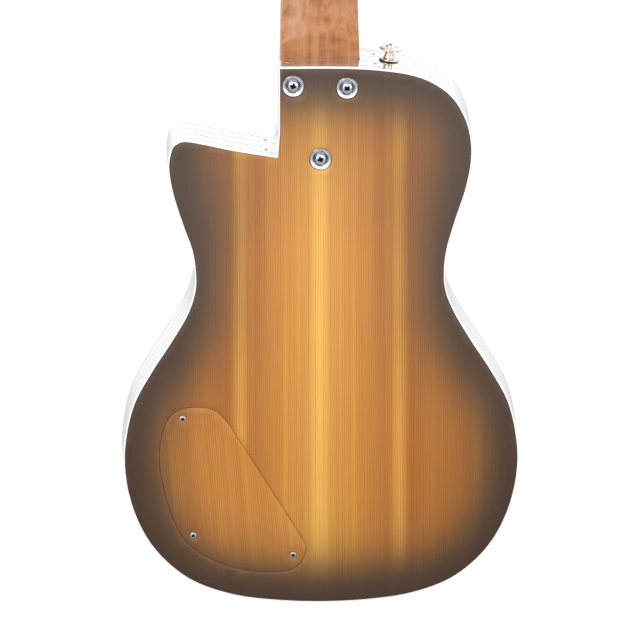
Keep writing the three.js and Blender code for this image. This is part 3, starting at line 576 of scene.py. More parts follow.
OUTLINE = body_outline()
BURST_OUTLINE = burst_outline()
WAIST_Z, WAIST_REACH = 262.0, 38.0


def half_width(z):
    """Half of the neck's width at a height."""
    return (NUT_WIDTH + (JOINT_WIDTH - NUT_WIDTH) * (NUT_Z - z) / (NUT_Z - BODY_TOP_Z)) / 2


# ---------------------------------------------------------------- mesh makers

def mesh_from(name, verts, faces, merge=False):
    """A mesh whose faces look outwards, with its doubled points merged if asked."""
    mesh = bpy.data.meshes.new(name)
    mesh.from_pydata([tuple(v) for v in verts], [], [tuple(f) for f in faces])
    work = bmesh.new()
    work.from_mesh(mesh)
    if merge:
        bmesh.ops.remove_doubles(work, verts=work.verts, dist=1e-4)
        bmesh.ops.dissolve_degenerate(work, edges=work.edges, dist=1e-5)
    bmesh.ops.recalc_face_normals(work, faces=work.faces)
    work.to_mesh(mesh)
    work.free()
    return mesh


def smooth(mesh, sharp):
    mesh.polygons.foreach_set("use_smooth", [True] * len(mesh.polygons))
    mesh.set_sharp_from_angle(angle=radians(sharp))


def linked(name, data):
    """A new object, in the scene."""
    made = bpy.data.objects.new(name, data)
    bpy.context.scene.collection.objects.link(made)
    return made


def make(name, verts, faces, material, slot, body="guitar", replaces=(), matrix=None, sharp=CREASE):
    """A piece from vertices in millimetres, which rides on a body."""
    mesh = mesh_from(name, verts, faces, merge=True)
    mesh.transform(MM_TO_ROW @ (matrix or Matrix.Identity(4)))
    smooth(mesh, sharp)
    mesh.materials.append(material)
    made = linked(name, mesh)
    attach(made, body)
    if replaces:
        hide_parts(*([replaces] if isinstance(replaces, str) else replaces))
    return made


def joined(*parts):
    """Several (verts, faces) as one."""
    verts, faces = [], []
    for part_verts, part_faces in parts:
        base = len(verts)
        verts += [tuple(v) for v in part_verts]
        faces += [[i + base for i in face] for face in part_faces]
    return verts, faces


def moved_part(part, matrix):
    verts, faces = part
    return [tuple(matrix @ Vector(v)) for v in verts], faces


def lathe(profile, segments=48):
    """A turned part round z from (radius, height) points, from axis to axis or closed on itself."""
    closed = profile[0] == profile[-1] and profile[0][0] > 0
    points = profile[:-1] if closed else profile
    verts, rings = [], []
    for radius, height in points:
        if radius < 1e-6:
            rings.append([len(verts)])
            verts.append((0, 0, height))
            continue
        rings.append(list(range(len(verts), len(verts) + segments)))
        for k in range(segments):
            angle = 2 * pi * k / segments
            verts.append((radius * cos(angle), radius * sin(angle), height))
    faces = []
    pairs = list(zip(rings, rings[1:])) + ([(rings[-1], rings[0])] if closed else [])
    for low, high in pairs:
        for k in range(segments):
            n = (k + 1) % segments
            quad = [low[k % len(low)], low[n % len(low)], high[n % len(high)], high[k % len(high)]]
            faces.append(list(dict.fromkeys(quad)))
    return verts, [f for f in faces if len(f) > 2]


def plug(radius, low, high, segments=24):
    """A plain round cutter along z."""
    return lathe([(0, low), (radius, low), (radius, high), (0, high)], segments)


def make_turned(name, profile, segments, place, *look, **rest):
    """A turned piece, stood on a frame."""
    return make(name, *moved_part(lathe(profile, segments), place), *look, **rest)


def string_x(string, spacing):
    """How far across a string lies, where the strings are a spacing apart."""
    return (3.5 - string) * spacing


def loft(rings):
    """A skin over rings of equal length, with flat ends."""
    count = len(rings[0])
    verts = [tuple(v) for ring in rings for v in ring]
    faces = [[r * count + i, r * count + (i + 1) % count,
              (r + 1) * count + (i + 1) % count, (r + 1) * count + i]
             for r in range(len(rings) - 1) for i in range(count)]
    faces.append(list(range(count))[::-1])
    faces.append(list(range(len(verts) - count, len(verts))))
    return verts, faces


def soft_box(low, high, round_off, segments=3):
    """A box with rounded edges."""
    work = bmesh.new()
    bmesh.ops.create_cube(work, size=1)
    size = [b - a for a, b in zip(low, high)]
    for v in work.verts:
        v.co = Vector([(c + 0.5) * s + a for c, s, a in zip(v.co, size, low)])
    bmesh.ops.bevel(work, geom=work.edges[:], offset=round_off, segments=segments, profile=0.6,
                    affect="EDGES", clamp_overlap=True)
    verts = [tuple(v.co) for v in work.verts]
    faces = [[v.index for v in f.verts] for f in work.faces]
    work.free()
    return verts, faces


def fill(loops, step):
    """Triangles over the region between the loops, with inner points a step apart.
    Returns the points, the triangles, and where each loop's points went."""
    points = np.vstack(loops)
    low, high = points.min(axis=0), points.max(axis=0)
    xs = np.arange(low[0] + step / 2, high[0], step)
    zs = np.arange(low[1] + step / 2, high[1], step)
    grid = np.array([(x + (i % 2) * step / 2, z) for i, z in enumerate(zs) for x in xs])
    grid = grid[inside(loops, grid)]
    for loop in loops:
        grid = grid[distance_to(loop, grid) > step * 0.5]
    edges, start = [], 0
    for loop in loops:
        n = len(loop)
        edges += [(start + i, start + (i + 1) % n) for i in range(n)]
        start += n
    given = [Vector(p) for p in np.vstack([points, grid])]
    out, _, tris, origins, _, _ = delaunay_2d_cdt(given, edges, [], 0, 1e-5)
    out = np.array([tuple(p) for p in out])
    tris = np.array(tris)
    tris = tris[inside(loops, out[tris].mean(axis=1))]
    where = {}
    for new, olds in enumerate(origins):
        for old in olds:
            where[old] = new
    return out, tris, [where[i] for i in range(start)]


def plate(outline, holes, near, far, arris=0.5, hole_arris=None, step=5.0):
    """A flat board between two depths. The edges are eased, each hole by its own amount."""
    eased = [arris] + list(hole_arris or [arris] * len(holes))
    loops = [np.asarray(outline)] + [np.asarray(h) for h in holes]
    shrunk = [offset(loop, ease if k else -ease) for k, (loop, ease) in enumerate(zip(loops, eased))]
    points, tris, where = fill(shrunk, step)
    count = len(points)
    verts = [(x, -near, z) for x, z in points] + [(x, -far, z) for x, z in points]
    faces = [list(t) for t in tris] + [[a + count, c + count, b + count] for a, b, c in tris]
    start = 0
    for loop, ease in zip(loops, eased):
        n = len(loop)
        base = len(verts)
        verts += [(x, -(near + ease), z) for x, z in loop] + [(x, -(far - ease), z) for x, z in loop]
        for i in range(n):
            j = (i + 1) % n
            a, b = where[start + i], where[start + j]
            faces.append([a, b, base + j, base + i])
            faces.append([base + i, base + j, base + n + j, base + n + i])
            faces.append([base + n + i, base + n + j, b + count, a + count])
        start += n
    return verts, faces


def note_edge_distance(obj):
    """Stores how far each vertex is from the sunburst's outline, in metres. The sunburst is
    narrower at the waist."""
    mesh = obj.data
    places = np.empty(len(mesh.vertices) * 3)
    mesh.vertices.foreach_get("co", places)
    flat = (places.reshape(-1, 3)[:, ::2] - (0, MM_TO_ROW.translation.z)) / MM
    waist = np.exp(-(((flat[:, 1] - WAIST_Z) / WAIST_REACH) ** 2))
    shoulder = np.clip((flat[:, 1] - 300) / 40, 0, 1)
    distance = distance_to(BURST_OUTLINE, flat) * (1 + 0.15 * waist - 0.12 * shoulder) + 7 * waist
    values = (distance * MM).astype(np.float32)
    mesh.attributes.new("edge", "FLOAT", "POINT").data.foreach_set("value", values)


def around_body(profile):
    """A ring round the body from closed (offset outwards, depth) points."""
    loops = [offset(OUTLINE, out) for out, _ in profile]
    count = len(OUTLINE)
    verts = [(loop[i][0], -depth, loop[i][1])
             for i in range(count) for loop, (_, depth) in zip(loops, profile)]
    n = len(profile)
    faces = []
    for here in range(0, count * n, n):
        there = (here + n) % (count * n)
        faces += [[here + k, here + (k + 1) % n, there + (k + 1) % n, there + k] for k in range(n)]
    return verts, faces


def carve(obj, *parts, lining=None):
    """Cuts closed (verts, faces) parts, in millimetres, out of a piece, and may line the cuts
    with a material of their own."""
    for part in parts:
        mesh = mesh_from("cutter", *part)
        mesh.transform(MM_TO_ROW)
        if lining:
            mesh.materials.append(lining)
        tool = linked("cutter", mesh)
        change = obj.modifiers.new("cut", "BOOLEAN")
        change.operation, change.solver, change.object = "DIFFERENCE", "EXACT", tool
        change.material_mode = "TRANSFER" if lining else "INDEX"
        bpy.context.view_layer.update()
        ready = obj.evaluated_get(bpy.context.evaluated_depsgraph_get())
        baked = bpy.data.meshes.new_from_object(ready)
        obj.modifiers.clear()
        obj.data = baked
        bpy.data.objects.remove(tool)
    smooth(obj.data, CREASE)


def pocket_tool():
    low, high = FRETBOARD_END_Z - 1, BODY_TOP_Z + 12
    corner = CUTAWAY_CORNER[1] + 1.6
    past = CUTAWAY_WALL_X + BAND + 3 * FIT
    loop = [(-half_width(low) - FIT, low), (half_width(low) + FIT, low),
            (half_width(corner) + FIT, corner), (past, corner), (past, high),
            (-half_width(high) - FIT, high)]
    near, far = HEEL_DEPTH - FIT, BODY_DEPTH + 10
    return loft([[(x, -near, z) for x, z in loop], [(x, -far, z) for x, z in loop]])


def spin(degrees, axis="Z"):
    return Matrix.Rotation(radians(degrees), 4, axis)


def facing_back(x, z, depth=0.0):
    """A frame whose z points out of the back."""
    return Matrix.Translation((x, -depth, z)) @ spin(-90, "X")


def facing_front(x, z, depth=BODY_DEPTH):
    """A frame whose z points out of the front."""
    return Matrix.Translation((x, -depth, z)) @ spin(90, "X")


def toward(point, direction):
    """A frame at a point whose z points along a direction."""
    turn = Vector(direction).to_track_quat("Z", "Y").to_matrix().to_4x4()
    return Matrix.Translation(point) @ turn


HEAD = Matrix.Translation((0, -NECK_FACE, HEAD_START_Z)) @ spin(-HEAD_TILT, "X")


# ---------------------------------------------------------------- screws

def cross_recess(radius, depth, top):
    """The cutter of a cross recess: four tapered wings that meet in the middle."""
    parts = []
    for k in range(2):
        w, l = radius * 0.19, radius * 0.68
        upper = [(-l, -w, top + 0.2), (l, -w, top + 0.2), (l, w, top + 0.2), (-l, w, top + 0.2)]
        lower = [(-l * 0.35, -w * 0.5, top - depth), (l * 0.35, -w * 0.5, top - depth),
                 (l * 0.35, w * 0.5, top - depth), (-l * 0.35, w * 0.5, top - depth)]
        part = loft([lower, upper])
        parts.append(moved_part(part, spin(90 * k + 45)))
    return parts


def cross_screw(name, matrix, radius, dome, body="guitar", sunk=1.6, material=None, turn=0.0, **rest):
    """An oval-headed cross-recess screw whose rim lies at its frame's zero height."""
    arc = [(radius * sin(t), dome * cos(t)) for t in np.linspace(pi / 2, 0, 7)[:-1]]
    shank = -sunk - 3
    profile = [(0, shank), (radius * 0.42, shank), (radius * 0.45, -sunk), (radius * 0.96, -0.25)]
    profile += [(radius, 0.0)] + arc[1:] + [(0, dome)]
    spun = matrix @ Matrix.Rotation(turn, 4, "Z")
    screw = make_turned(name, profile, 28, spun, material or SCREW_STEEL, "steel", body, sharp=30, **rest)
    tools = [moved_part(tool, spun) for tool in cross_recess(radius, radius * 0.5, dome)]
    # The recess is lined with painted shade.
    carve(screw, *tools, lining=PAINTED_SHADE_RECESS)


# ---------------------------------------------------------------- body

def cover_outline():
    return catmull(CONTROL_COVER_CURVE, 8)


def build_back():
    holes = [offset(cover_outline(), FIT)] + [circle(x, z, FERRULE_RADIUS + FIT) for x, z in NECK_BOLTS]
    part = plate(OUTLINE, holes, 0, PLATE, 0.35, [0.1] + [0.5] * len(NECK_BOLTS), step=4.5)
    back = make("back", *part, SUNBURST, "top_and_back_wood", replaces="back_plate", sharp=50)
    note_edge_distance(back)


def build_top():
    pickup_hole = np.array([(-37.5, 285), (37.5, 285), (37.5, 327), (-37.5, 327)])
    holes = [circle(0, SADDLE_Z, 121.2, 128), pickup_hole]
    holes += [circle(*control_place(name), 4.9, 24) for name in CONTROL_ANGLES]
    part = plate(OUTLINE, holes, BODY_DEPTH - PLATE, BODY_DEPTH, 0.35, step=4.5)
    top = make("top", *part, SUNBURST, "top_and_back_wood", replaces="top_plate", sharp=50)
    carve(top, pocket_tool())
    note_edge_distance(top)


def control_place(name):
    """Where a control stands on its ring round the resonator."""
    a = radians(CONTROL_ANGLES[name])
    return CONTROL_RING * cos(a), SADDLE_Z + CONTROL_RING * sin(a)


def build_control_cover():
    holes = [circle(x, z, 1.9, 24) for x, z in COVER_SCREWS]
    # The countersinks: the first screw's hole keeps a nearly sharp edge.
    part = plate(cover_outline(), holes, 0.05, PLATE, 0.1, [0.1, 1.25, 1.25])
    cover = make("control_cover_board", *part, COVER_WOOD, "cover_wood", replaces="control_cover",
                 sharp=50)
    note_edge_distance(cover)
    for k, (x, z) in enumerate(COVER_SCREWS):
        cross_screw(f"cover_screw_{k + 1}", facing_back(x, z, 0.25), 2.55, 0.75, turn=0.4 + k)


def rib_profile():
    """The edge band's section: crowned ribs with narrow rounded grooves between them."""
    low, high = BINDING + FIT, BODY_DEPTH - BINDING - FIT
    outer = FIT + BAND
    profile = [(FIT, low), (outer - 0.25, low), (outer - 0.05, low + 0.25)]
    stops = [low, *GROOVES, high]
    for k, (a, b) in enumerate(zip(stops, stops[1:])):
        left = a + (0.5 if k else 0.25)
        right = b - (0.5 if k < len(GROOVES) else 0.25)
        for share in (0.0, 0.12, 0.5, 0.88, 1.0):
            crown = 0.10 * (1 - (2 * share - 1) ** 2)
            profile.append((outer - 0.10 + crown, left + (right - left) * share))
        if k < len(GROOVES):
            profile += [(outer - 0.42, b - 0.28), (outer - 0.5, b), (outer - 0.42, b + 0.28)]
    return profile + [(outer - 0.25, high), (FIT, high)]


def binding_profile():
    """The back binding's section: its outer corner is rounded."""
    outer = FIT + BAND
    return [(FIT, 0), (outer - 0.35, 0), (outer - 0.1, 0.1), (outer, 0.35), (outer, BINDING),
            (FIT, BINDING)]


def build_edge():
    back_strip = binding_profile()
    front_strip = [(out, BODY_DEPTH - depth) for out, depth in back_strip][::-1]
    make("back_binding_strip", *around_body(back_strip), BINDING_PLASTIC, "binding_plastic",
         replaces="back_binding")
    front = make("front_binding_strip", *around_body(front_strip), BINDING_PLASTIC, "binding_plastic",
                 replaces="front_binding")
    carve(front, pocket_tool())
    band = make("ribbed_band", *around_body(rib_profile()), BAND_METAL, "polished_aluminium",
                replaces="edge_band", sharp=40)
    jack_hole = moved_part(plug(6.1, -20, 20, 40), Matrix.Translation((JACK_X, -JACK_DEPTH, 0)))
    carve(band, pocket_tool(), jack_hole)
    # Paints shade into the band's grooves.
    shade_groove_bottoms(band)
    for x, depths in BAND_SCREWS:
        for depth in depths:
            place, normal = edge_place(x, depth)
            cross_screw(f"band_screw_{'n' if x < 0 else 'p'}{abs(int(x))}_{int(depth)}",
                        toward(place, normal), 1.7, 0.6, sunk=0.6)


def shade_groove_bottoms(band):
    """Painted shade: the bottoms of the grooves, and the band's rims by the bindings, get a darker,
    rougher metal.
    """
    band.data.materials.append(GROOVE_SHADE_METAL)
    rim = BINDING + FIT
    for face in band.data.polygons:
        depth = (MM_TO_ROW.translation.y - face.center.y) / MM
        near = min(abs(depth - groove) for groove in (*GROOVES, rim, BODY_DEPTH - rim))
        if near < 0.4 and abs(face.normal.y) < 0.98:
            face.material_index = 1


def edge_place(x, depth):
    """The point on the band's upper side at x, and the way it faces."""
    outer = offset(OUTLINE, FIT + BAND)
    high = [i for i, (_, z) in enumerate(outer) if z > 340]
    i = min(high, key=lambda k: abs(outer[k][0] - x) - 0.001 * outer[k][1])
    ahead = outer[(i + 1) % len(outer)] - outer[i - 1]
    normal = Vector((ahead[1], 0, -ahead[0])).normalized()
    return Vector((outer[i][0], -depth, outer[i][1])), normal


def build_body():
    build_back()
    build_top()
    build_control_cover()
    build_edge()
    for node in ("side_bass", "side_treble", "neck_block", "tail_block", "cover_ledge", "soundwell"):
        dress(node, FRAME_WOOD)


def dress(node, material):
    """Gives a CAD node that stays as it is its material."""
    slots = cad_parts[node].data.materials
    slots.clear()
    slots.append(material)


# ---------------------------------------------------------------- neck

SCOOP_START, SCOOP_LENGTH, SCOOP_REACH = 524.9, 91.0, 46.0


def neck_back(x, z):
    """The neck's depth below the fretboard's face."""
    across = min(abs(x) / half_width(z), 1)
    taper = (NUT_Z - z) / (NUT_Z - BODY_TOP_Z)
    curve = (NECK_THICKNESS + 2 * taper) * (1 - across ** 2.4) ** 0.55
    rise = max(0.0, min(1.0, (SCOOP_START - z) / SCOOP_LENGTH)) ** 2
    full = curve + (SCOOP_REACH - curve) * rise
    limit = NECK_FACE - HEEL_DEPTH
    soft = 0.25
    return -soft * log(exp(-min(full, 80) / soft) + exp(-limit / soft))


def neck_ring(z, columns=48):
    half = half_width(z)
    ring = []
    for i in range(columns + 1):
        x = -half * cos(pi * i / columns)
        ring.append((x, -NECK_FACE + max(0.4, neck_back(x, z)), z))
    return ring + [(half, -NECK_FACE, z), (-half, -NECK_FACE, z)]


def build_neck():
    heights = list(np.linspace(FRETBOARD_END_Z + 0.5, 430, 6)) + list(np.arange(432, 530, 1.5))
    heights += list(np.linspace(532, HEAD_START_Z - 4, 40)) + [HEAD_START_Z, HEAD_START_Z + 8]
    shaft = loft([neck_ring(z) for z in heights])
    neck = make("roasted_neck", *shaft, MAPLE, "roasted_maple", replaces="neck", sharp=30)
    bores = [moved_part(plug(2.6, -1, 31), facing_front(x, z, HEEL_DEPTH)) for x, z in NECK_BOLTS]
    carve(neck, *bores)
    build_headstock()


def build_headstock():
    holes = [circle(s * POST_X, h, 3.5, 32) for s in (-1, 1) for h in POST_HEIGHTS]
    part = plate(both_sides(catmull(HEAD_SIDE, 6)), holes, 0, HEAD_THICKNESS, 1.2, [0.3] * 6, step=6.0)
    turned = [(x, -y, z) for x, y, z in part[0]], part[1]
    head = make("headstock", *turned, MAPLE, "roasted_maple", matrix=HEAD, sharp=40)
    block = soft_box((-70, -NECK_FACE - 25, FRETBOARD_END_Z), (70, -NECK_FACE, HEAD_START_Z + 30),
                     0.01, 1)
    carve(head, block)


def build_fretboard():
    top = FRETBOARD_TOP
    edge = [(0, NECK_FACE + FIT), (0, top - 0.7), (0.5, top - 0.15), (1.4, top)]
    rings = []
    for z in np.linspace(FRETBOARD_END_Z, NUT_Z, 24):
        half = half_width(z)
        rings.append([(half - inset, -depth, z) for inset, depth in edge]
                     + [(inset - half, -depth, z) for inset, depth in edge[::-1]])
    make("fingerboard", *loft(rings), EBONY, "ebony", replaces="fretboard")
    for number in range(1, 21):
        build_fret(number)
    for number in (3, 5, 7, 9, 12, 15, 17, 19):
        build_markers(number)


def fret_z(number):
    return NUT_Z - SCALE_LENGTH * (1 - 2 ** (-number / 12))


def build_fret(number):
    z = fret_z(number)
    half = half_width(z) - 0.3
    rings = []
    for x, drop in ((-half, 0.55), (-half + 0.5, 0.15), (-half + 1.2, 0),
                    (half - 1.2, 0), (half - 0.5, 0.15), (half, 0.55)):
        arc = [(x, -(FRETBOARD_TOP + (1.1 - drop) * sin(t) ** 0.8), z + 1.25 * cos(t))
               for t in np.linspace(0.02, pi - 0.02, 9)]
        rings.append(arc + [(x, -(FRETBOARD_TOP - 0.4), z - 0.4), (x, -(FRETBOARD_TOP - 0.4), z + 0.4)])
    make(f"fret_{number}", *loft(rings), NICKEL, "nickel", sharp=50)


def build_markers(number):
    middle = (fret_z(number) + fret_z(number - 1)) / 2
    dot = [(0, -0.6), (3.1, -0.6), (3.1, 0.0), (3.0, 0.06), (0, 0.07)]
    for k, x in enumerate((-12, 12) if number == 12 else (0,)):
        make_turned(f"marker_{number}_{k + 1}", dot, 36, facing_front(x, middle, FRETBOARD_TOP), PEARL,
                    "bone")


def build_nut():
    half = half_width(NUT_Z)
    near, top = NECK_FACE + FIT, STRING_AT_NUT + 0.35
    blank = soft_box((-half, -top, NUT_Z + FIT), (half, -near, NUT_Z + NUT_LENGTH), 0.5)
    nut = make("slotted_nut", *blank, BONE, "bone", replaces="nut")
    cutters = []
    for string in STRINGS:
        x = string_x(string, NUT_SPACING)
        radius = STRING_DIAMETERS[string - 1] / 2 + 0.06
        ring = [(x + radius * cos(t), -(STRING_AT_NUT + radius * sin(t)))
                for t in np.linspace(pi, 2 * pi, 9)]
        ring += [(x + radius, -(top + 1)), (x - radius, -(top + 1))]
        ends = (NUT_Z - 2, NUT_Z + NUT_LENGTH + 2)
        cutters.append(loft([[(px, py, z) for px, py in ring] for z in ends]))
    carve(nut, *cutters)


def build_rod_cover():
    """The plate over the truss rod's nut, on the headstock's face, with its two screws."""
    side = catmull([(0, 4), (9, 4.5), (9.6, 7), (7, 16), (4.6, 24), (0, 28)], 6)
    part = plate(both_sides(side), [], 0.05, 1.6, 0.35, step=3.0)
    make("truss_rod_cover", *part, BLACK, "black_plastic", matrix=HEAD)
    for k, (x, z) in enumerate(((0, 24), (0, 7.5))):
        cross_screw(f"rod_cover_screw_{k + 1}", HEAD @ facing_front(x, z, 1.6), 1.6, 0.5, sunk=0.4)


def build_neck_bolts():
    for k, (x, z) in enumerate(NECK_BOLTS):
        cup = [(2.5, -6.2), (2.5, -3.9), (3.4, -3.5), (4.6, -3.2), (5.6, -2.6), (6.7, -1.5), (7.6, -0.75),
               (8.1, -0.5), (8.45, -0.6), (FERRULE_RADIUS, -0.9), (FERRULE_RADIUS, -6.2), (2.5, -6.2)]
        place = facing_back(x, z)
        make_turned(f"ferrule_{k + 1}", cup, 56, place, FERRULE, "nickel",
                    replaces=f"neck_ferrule_{k + 1}", sharp=60)
        head = [(0, -56), (2.1, -54), (2.1, -3.7), (3.7, -2.3), (3.9, -1.9), (3.7, -1.2), (3.0, -0.75),
                (1.6, -0.45), (0, -0.4)]
        spun = place @ Matrix.Rotation(0.5 + 1.1 * k, 4, "Z")
        bolt = make_turned(f"bolt_{k + 1}", head, 32, spun, FERRULE, "steel",
                           replaces=f"neck_bolt_{k + 1}", sharp=50)
        tools = [moved_part(tool, spun) for tool in cross_recess(4.1, 2.0, -0.45)]
        # The recess is lined with painted shade.
        carve(bolt, *tools, lining=PAINTED_SHADE_RECESS)


# ---------------------------------------------------------------- resonator and front hardware

def build_resonator():
    face = [(120.6, 28.2), (119.6, 28.6), (117.4, 28.6), (114.6, 27.7), (112.5, 27.6), (109, 28.4),
            (106, 29.6)]
    for radius in np.linspace(100, 42, 24):
        slope = np.interp(radius, (37, 60, 106), (54.0, 46.6, 29.6))
        face.append((radius, slope + 0.25 * sin(radius * 0.9)))
    face += [(37, 54.1), (34, 54.2), (0, 54.2)]
    under = [(radius, height - 0.8) for radius, height in face][::-1]
    under[0] = (0, 53.4)
    place = facing_front(0, SADDLE_Z, 0)
    make_turned("spun_cone", under + [(120.6, 26.4)] + face, 128, place, CONE_METAL, "spun_aluminium",
                replaces="cone", sharp=50)
    disc = [(0, 54.5), (30.6, 54.5), (31, 54.9), (31, 61.9), (30.4, 62.5), (0, 62.5)]
    make_turned("biscuit_disc", disc, 72, place, MAPLE, "roasted_maple", replaces="biscuit", sharp=40)
    build_saddle()


def build_saddle():
    foot, bevel, top = 62.8, STRING_AT_SADDLE - 1.45, STRING_AT_SADDLE - 0.65
    section = [(-1.6, foot), (1.6, foot), (1.6, bevel), (0.7, top), (-0.7, top), (-1.6, bevel)]
    rings = [[(x, -depth, SADDLE_Z + z) for z, depth in section] for x in np.linspace(-29.5, 29.5, 40)]
    make("saddle_blade", *loft(rings), BONE, "bone", replaces="saddle")


def stadium(inner, outer, width, angle):
    """A slot's loop, long from inner to outer radius, turned to its angle."""
    r = width / 2
    loop = []
    for middle, start in ((outer - r, -pi / 2), (inner + r, pi / 2)):
        loop += [(middle + r * cos(t), r * sin(t)) for t in np.linspace(start, start + pi, 9)]
    c, s = cos(angle), sin(angle)
    return [(x * c - y * s, x * s + y * c + SADDLE_Z) for x, y in loop]


def build_coverplate():
    face = [(127, 60.5), (127, 61.2), (126.6, 61.5), (121, 61.6), (119.4, 61.8), (117.2, 62.6),
            (114.5, 63.6), (112, 64.2), (104, 65.0), (88, 66.1), (70, 66.7), (52, 67.0), (39, 67.0),
            (37.4, 66.8), (37, 66.3)]
    under = [(37, 65.9), (52, 65.8), (88, 64.9), (112, 63.0), (119, 60.7), (121, 60.4), (127, 60.3)]
    cover = make_turned("coverplate_dish", face + under + [face[0]], 160, facing_front(0, SADDLE_Z, 0),
                        CHROME, "chrome", replaces="coverplate", sharp=40)
    slots = []
    for count, inner, outer, width in ((20, 66, 84, 5), (20, 92, 106, 7)):
        for k in range(count):
            loop = stadium(inner, outer, width, 2 * pi * (k + 0.5) / count)
            slots.append(loft([[(x, -58, z) for x, z in loop], [(x, -72, z) for x, z in loop]]))
    carve(cover, joined(*slots))
    for k in range(12):
        angle = 2 * pi * (k + 0.5) / 12
        place = facing_front(124.2 * cos(angle), SADDLE_Z + 124.2 * sin(angle), 61.6)
        cross_screw(f"coverplate_screw_{k + 1}", place, 2.0, 0.8, sunk=0.5, turn=k * 0.7)


def path_frames(path):
    """Each point of a flat path, with the way that is square to the path there."""
    for i, point in enumerate(path):
        a, b = path[max(i - 1, 0)], path[min(i + 1, len(path) - 1)]
        along = (b - a) / np.linalg.norm(b - a)
        yield point, np.array([-along[1], along[0]])


def build_hand_rest():
    base, top, across = 67.3, 80.0, 19.0
    path = [(-58, base + 0.2), (-49, base + 0.2), (-45.4, base + 1.0), (-43.5, base + 3), (-37.6, 75.6),
            (-34, 77.8), (-28, 78.9), (-18, 79.1), (0, 79.2)]
    middle = catmull(path, 6)
    middle = np.vstack([middle, (middle * (-1, 1))[::-1][1:]])
    rings = []
    for point, up in path_frames(middle):
        section = []
        for z, lift in ((-across, -0.6), (-across, 0.2), (-across + 0.7, 0.8), (across - 0.7, 0.8),
                        (across, 0.2), (across, -0.6), (across - 0.3, -0.8), (-across + 0.3, -0.8)):
            px, pd = point + up * lift
            section.append((px, -min(max(pd, base - 0.2), top), SADDLE_Z + z))
        rings.append(section)
    make("palm_rest", *loft(rings), CHROME, "chrome", replaces="hand_rest", sharp=45)
    for k, (x, z) in enumerate([(s * 53, SADDLE_Z + t * 12) for s in (-1, 1) for t in (-1, 1)]):
        place = facing_front(x, z, base + 1.3)
        cross_screw(f"palm_rest_screw_{k + 1}", place, 1.9, 0.7, sunk=0.3, turn=k * 0.9)


def build_tailpiece():
    base, bar, bar_z = 60.3, TAIL_BAR, TAIL_BAR_Z
    path = catmull([(3, base + 0.75), (14, base + 0.75), (18.6, base + 1.6), (24, base + 4.6),
                    (29, bar - 1.5), (34, bar - 0.75), (52, bar - 0.75), (bar_z - 0.4, bar - 0.75)], 6)
    rings = []
    for point, up in path_frames(path):
        flare = 15 + 18 / (1 + exp(-(point[0] - 47) / 2.2))
        section = []
        for x, lift in ((-flare, -0.45), (-flare, 0.45), (-flare + 0.5, 0.75), (flare - 0.5, 0.75),
                        (flare, 0.45), (flare, -0.45), (flare - 0.5, -0.75), (-flare + 0.5, -0.75)):
            pz, pd = point + up * lift
            section.append((x, -pd, pz))
        rings.append(section)
    plate_piece = make("tailpiece_plate", *loft(rings), CHROME, "chrome", replaces="tailpiece", sharp=45)
    across = [string_x(string, SADDLE_SPACING) for string in STRINGS]
    carve(plate_piece, *[moved_part(plug(2.3, -4, 4, 20), facing_front(x, bar_z - 11, bar))
                         for x in across])
    lip = soft_box((-33, -(bar + 3.6), bar_z - 8.2), (33, -(bar - 0.2), bar_z - 6.4), 0.5)
    lip_piece = make("tailpiece_lip", *lip, CHROME, "chrome", sharp=45)
    carve(lip_piece, *[soft_box((x - 1, -(bar + 5), bar_z - 10), (x + 1, -(bar + 0.2), bar_z - 5), 0.02, 1)
                       for x in across])
    ball = [(1.0, -1.6), (1.9, -1.4), (1.55, 0), (1.9, 1.4), (1.0, 1.6), (1.0, -1.6)]
    for string, x in zip(STRINGS, across):
        place = Matrix.Translation((x, -(bar + 1.5), bar_z - 11)) @ spin(90, "Y")
        make_turned(f"ball_end_{string}", ball, 20, place, NICKEL, "nickel")
    for k, x in enumerate((-9.5, 0, 9.5)):
        place = facing_front(x, 9, base + 1.5)
        cross_screw(f"tailpiece_screw_{k + 1}", place, 2.6, 0.9, sunk=0.5, turn=0.3 + k)


def build_pickup():
    half, z0, z1, top = 35.5, 287.0, 325.0, 66.5
    ring = soft_box((-43, -63, 281), (43, -60.3, 331), 0.8)
    frame_piece = make("pickup_surround", *ring, BLACK, "black_plastic", replaces="pickup_ring")
    carve(frame_piece, soft_box((-half - 0.5, -70, z0 - 0.5), (half + 0.5, -50, z1 + 0.5), 0.3, 1))
    make("pickup_shell", *soft_box((-half, -top, z0), (half, -46, z1), 1.6, 4), CHROME, "chrome",
         replaces="pickup_cover", sharp=40)
    pole = [(0, -1.2), (2.3, -1.2), (2.3, 0.35), (2.0, 0.6), (0, 0.65)]
    slot_box = soft_box((-2.4, -0.3, 0.2), (2.4, 0.3, 1.2), 0.01, 1)
    for string in STRINGS:
        place = facing_front(string_x(string, 10.2), 316, top)
        made = make_turned(f"pole_screw_{string}", pole, 28, place, SCREW_STEEL, "steel", sharp=40)
        carve(made, moved_part(slot_box, place @ Matrix.Rotation(0.5 * string, 4, "Z")))
    for k, x in enumerate((-39.3, 39.3)):
        cross_screw(f"pickup_screw_{k + 1}", facing_front(x, 306, 63), 1.7, 0.7, sunk=0.4)
    dress("pickup_coil", BLACK)


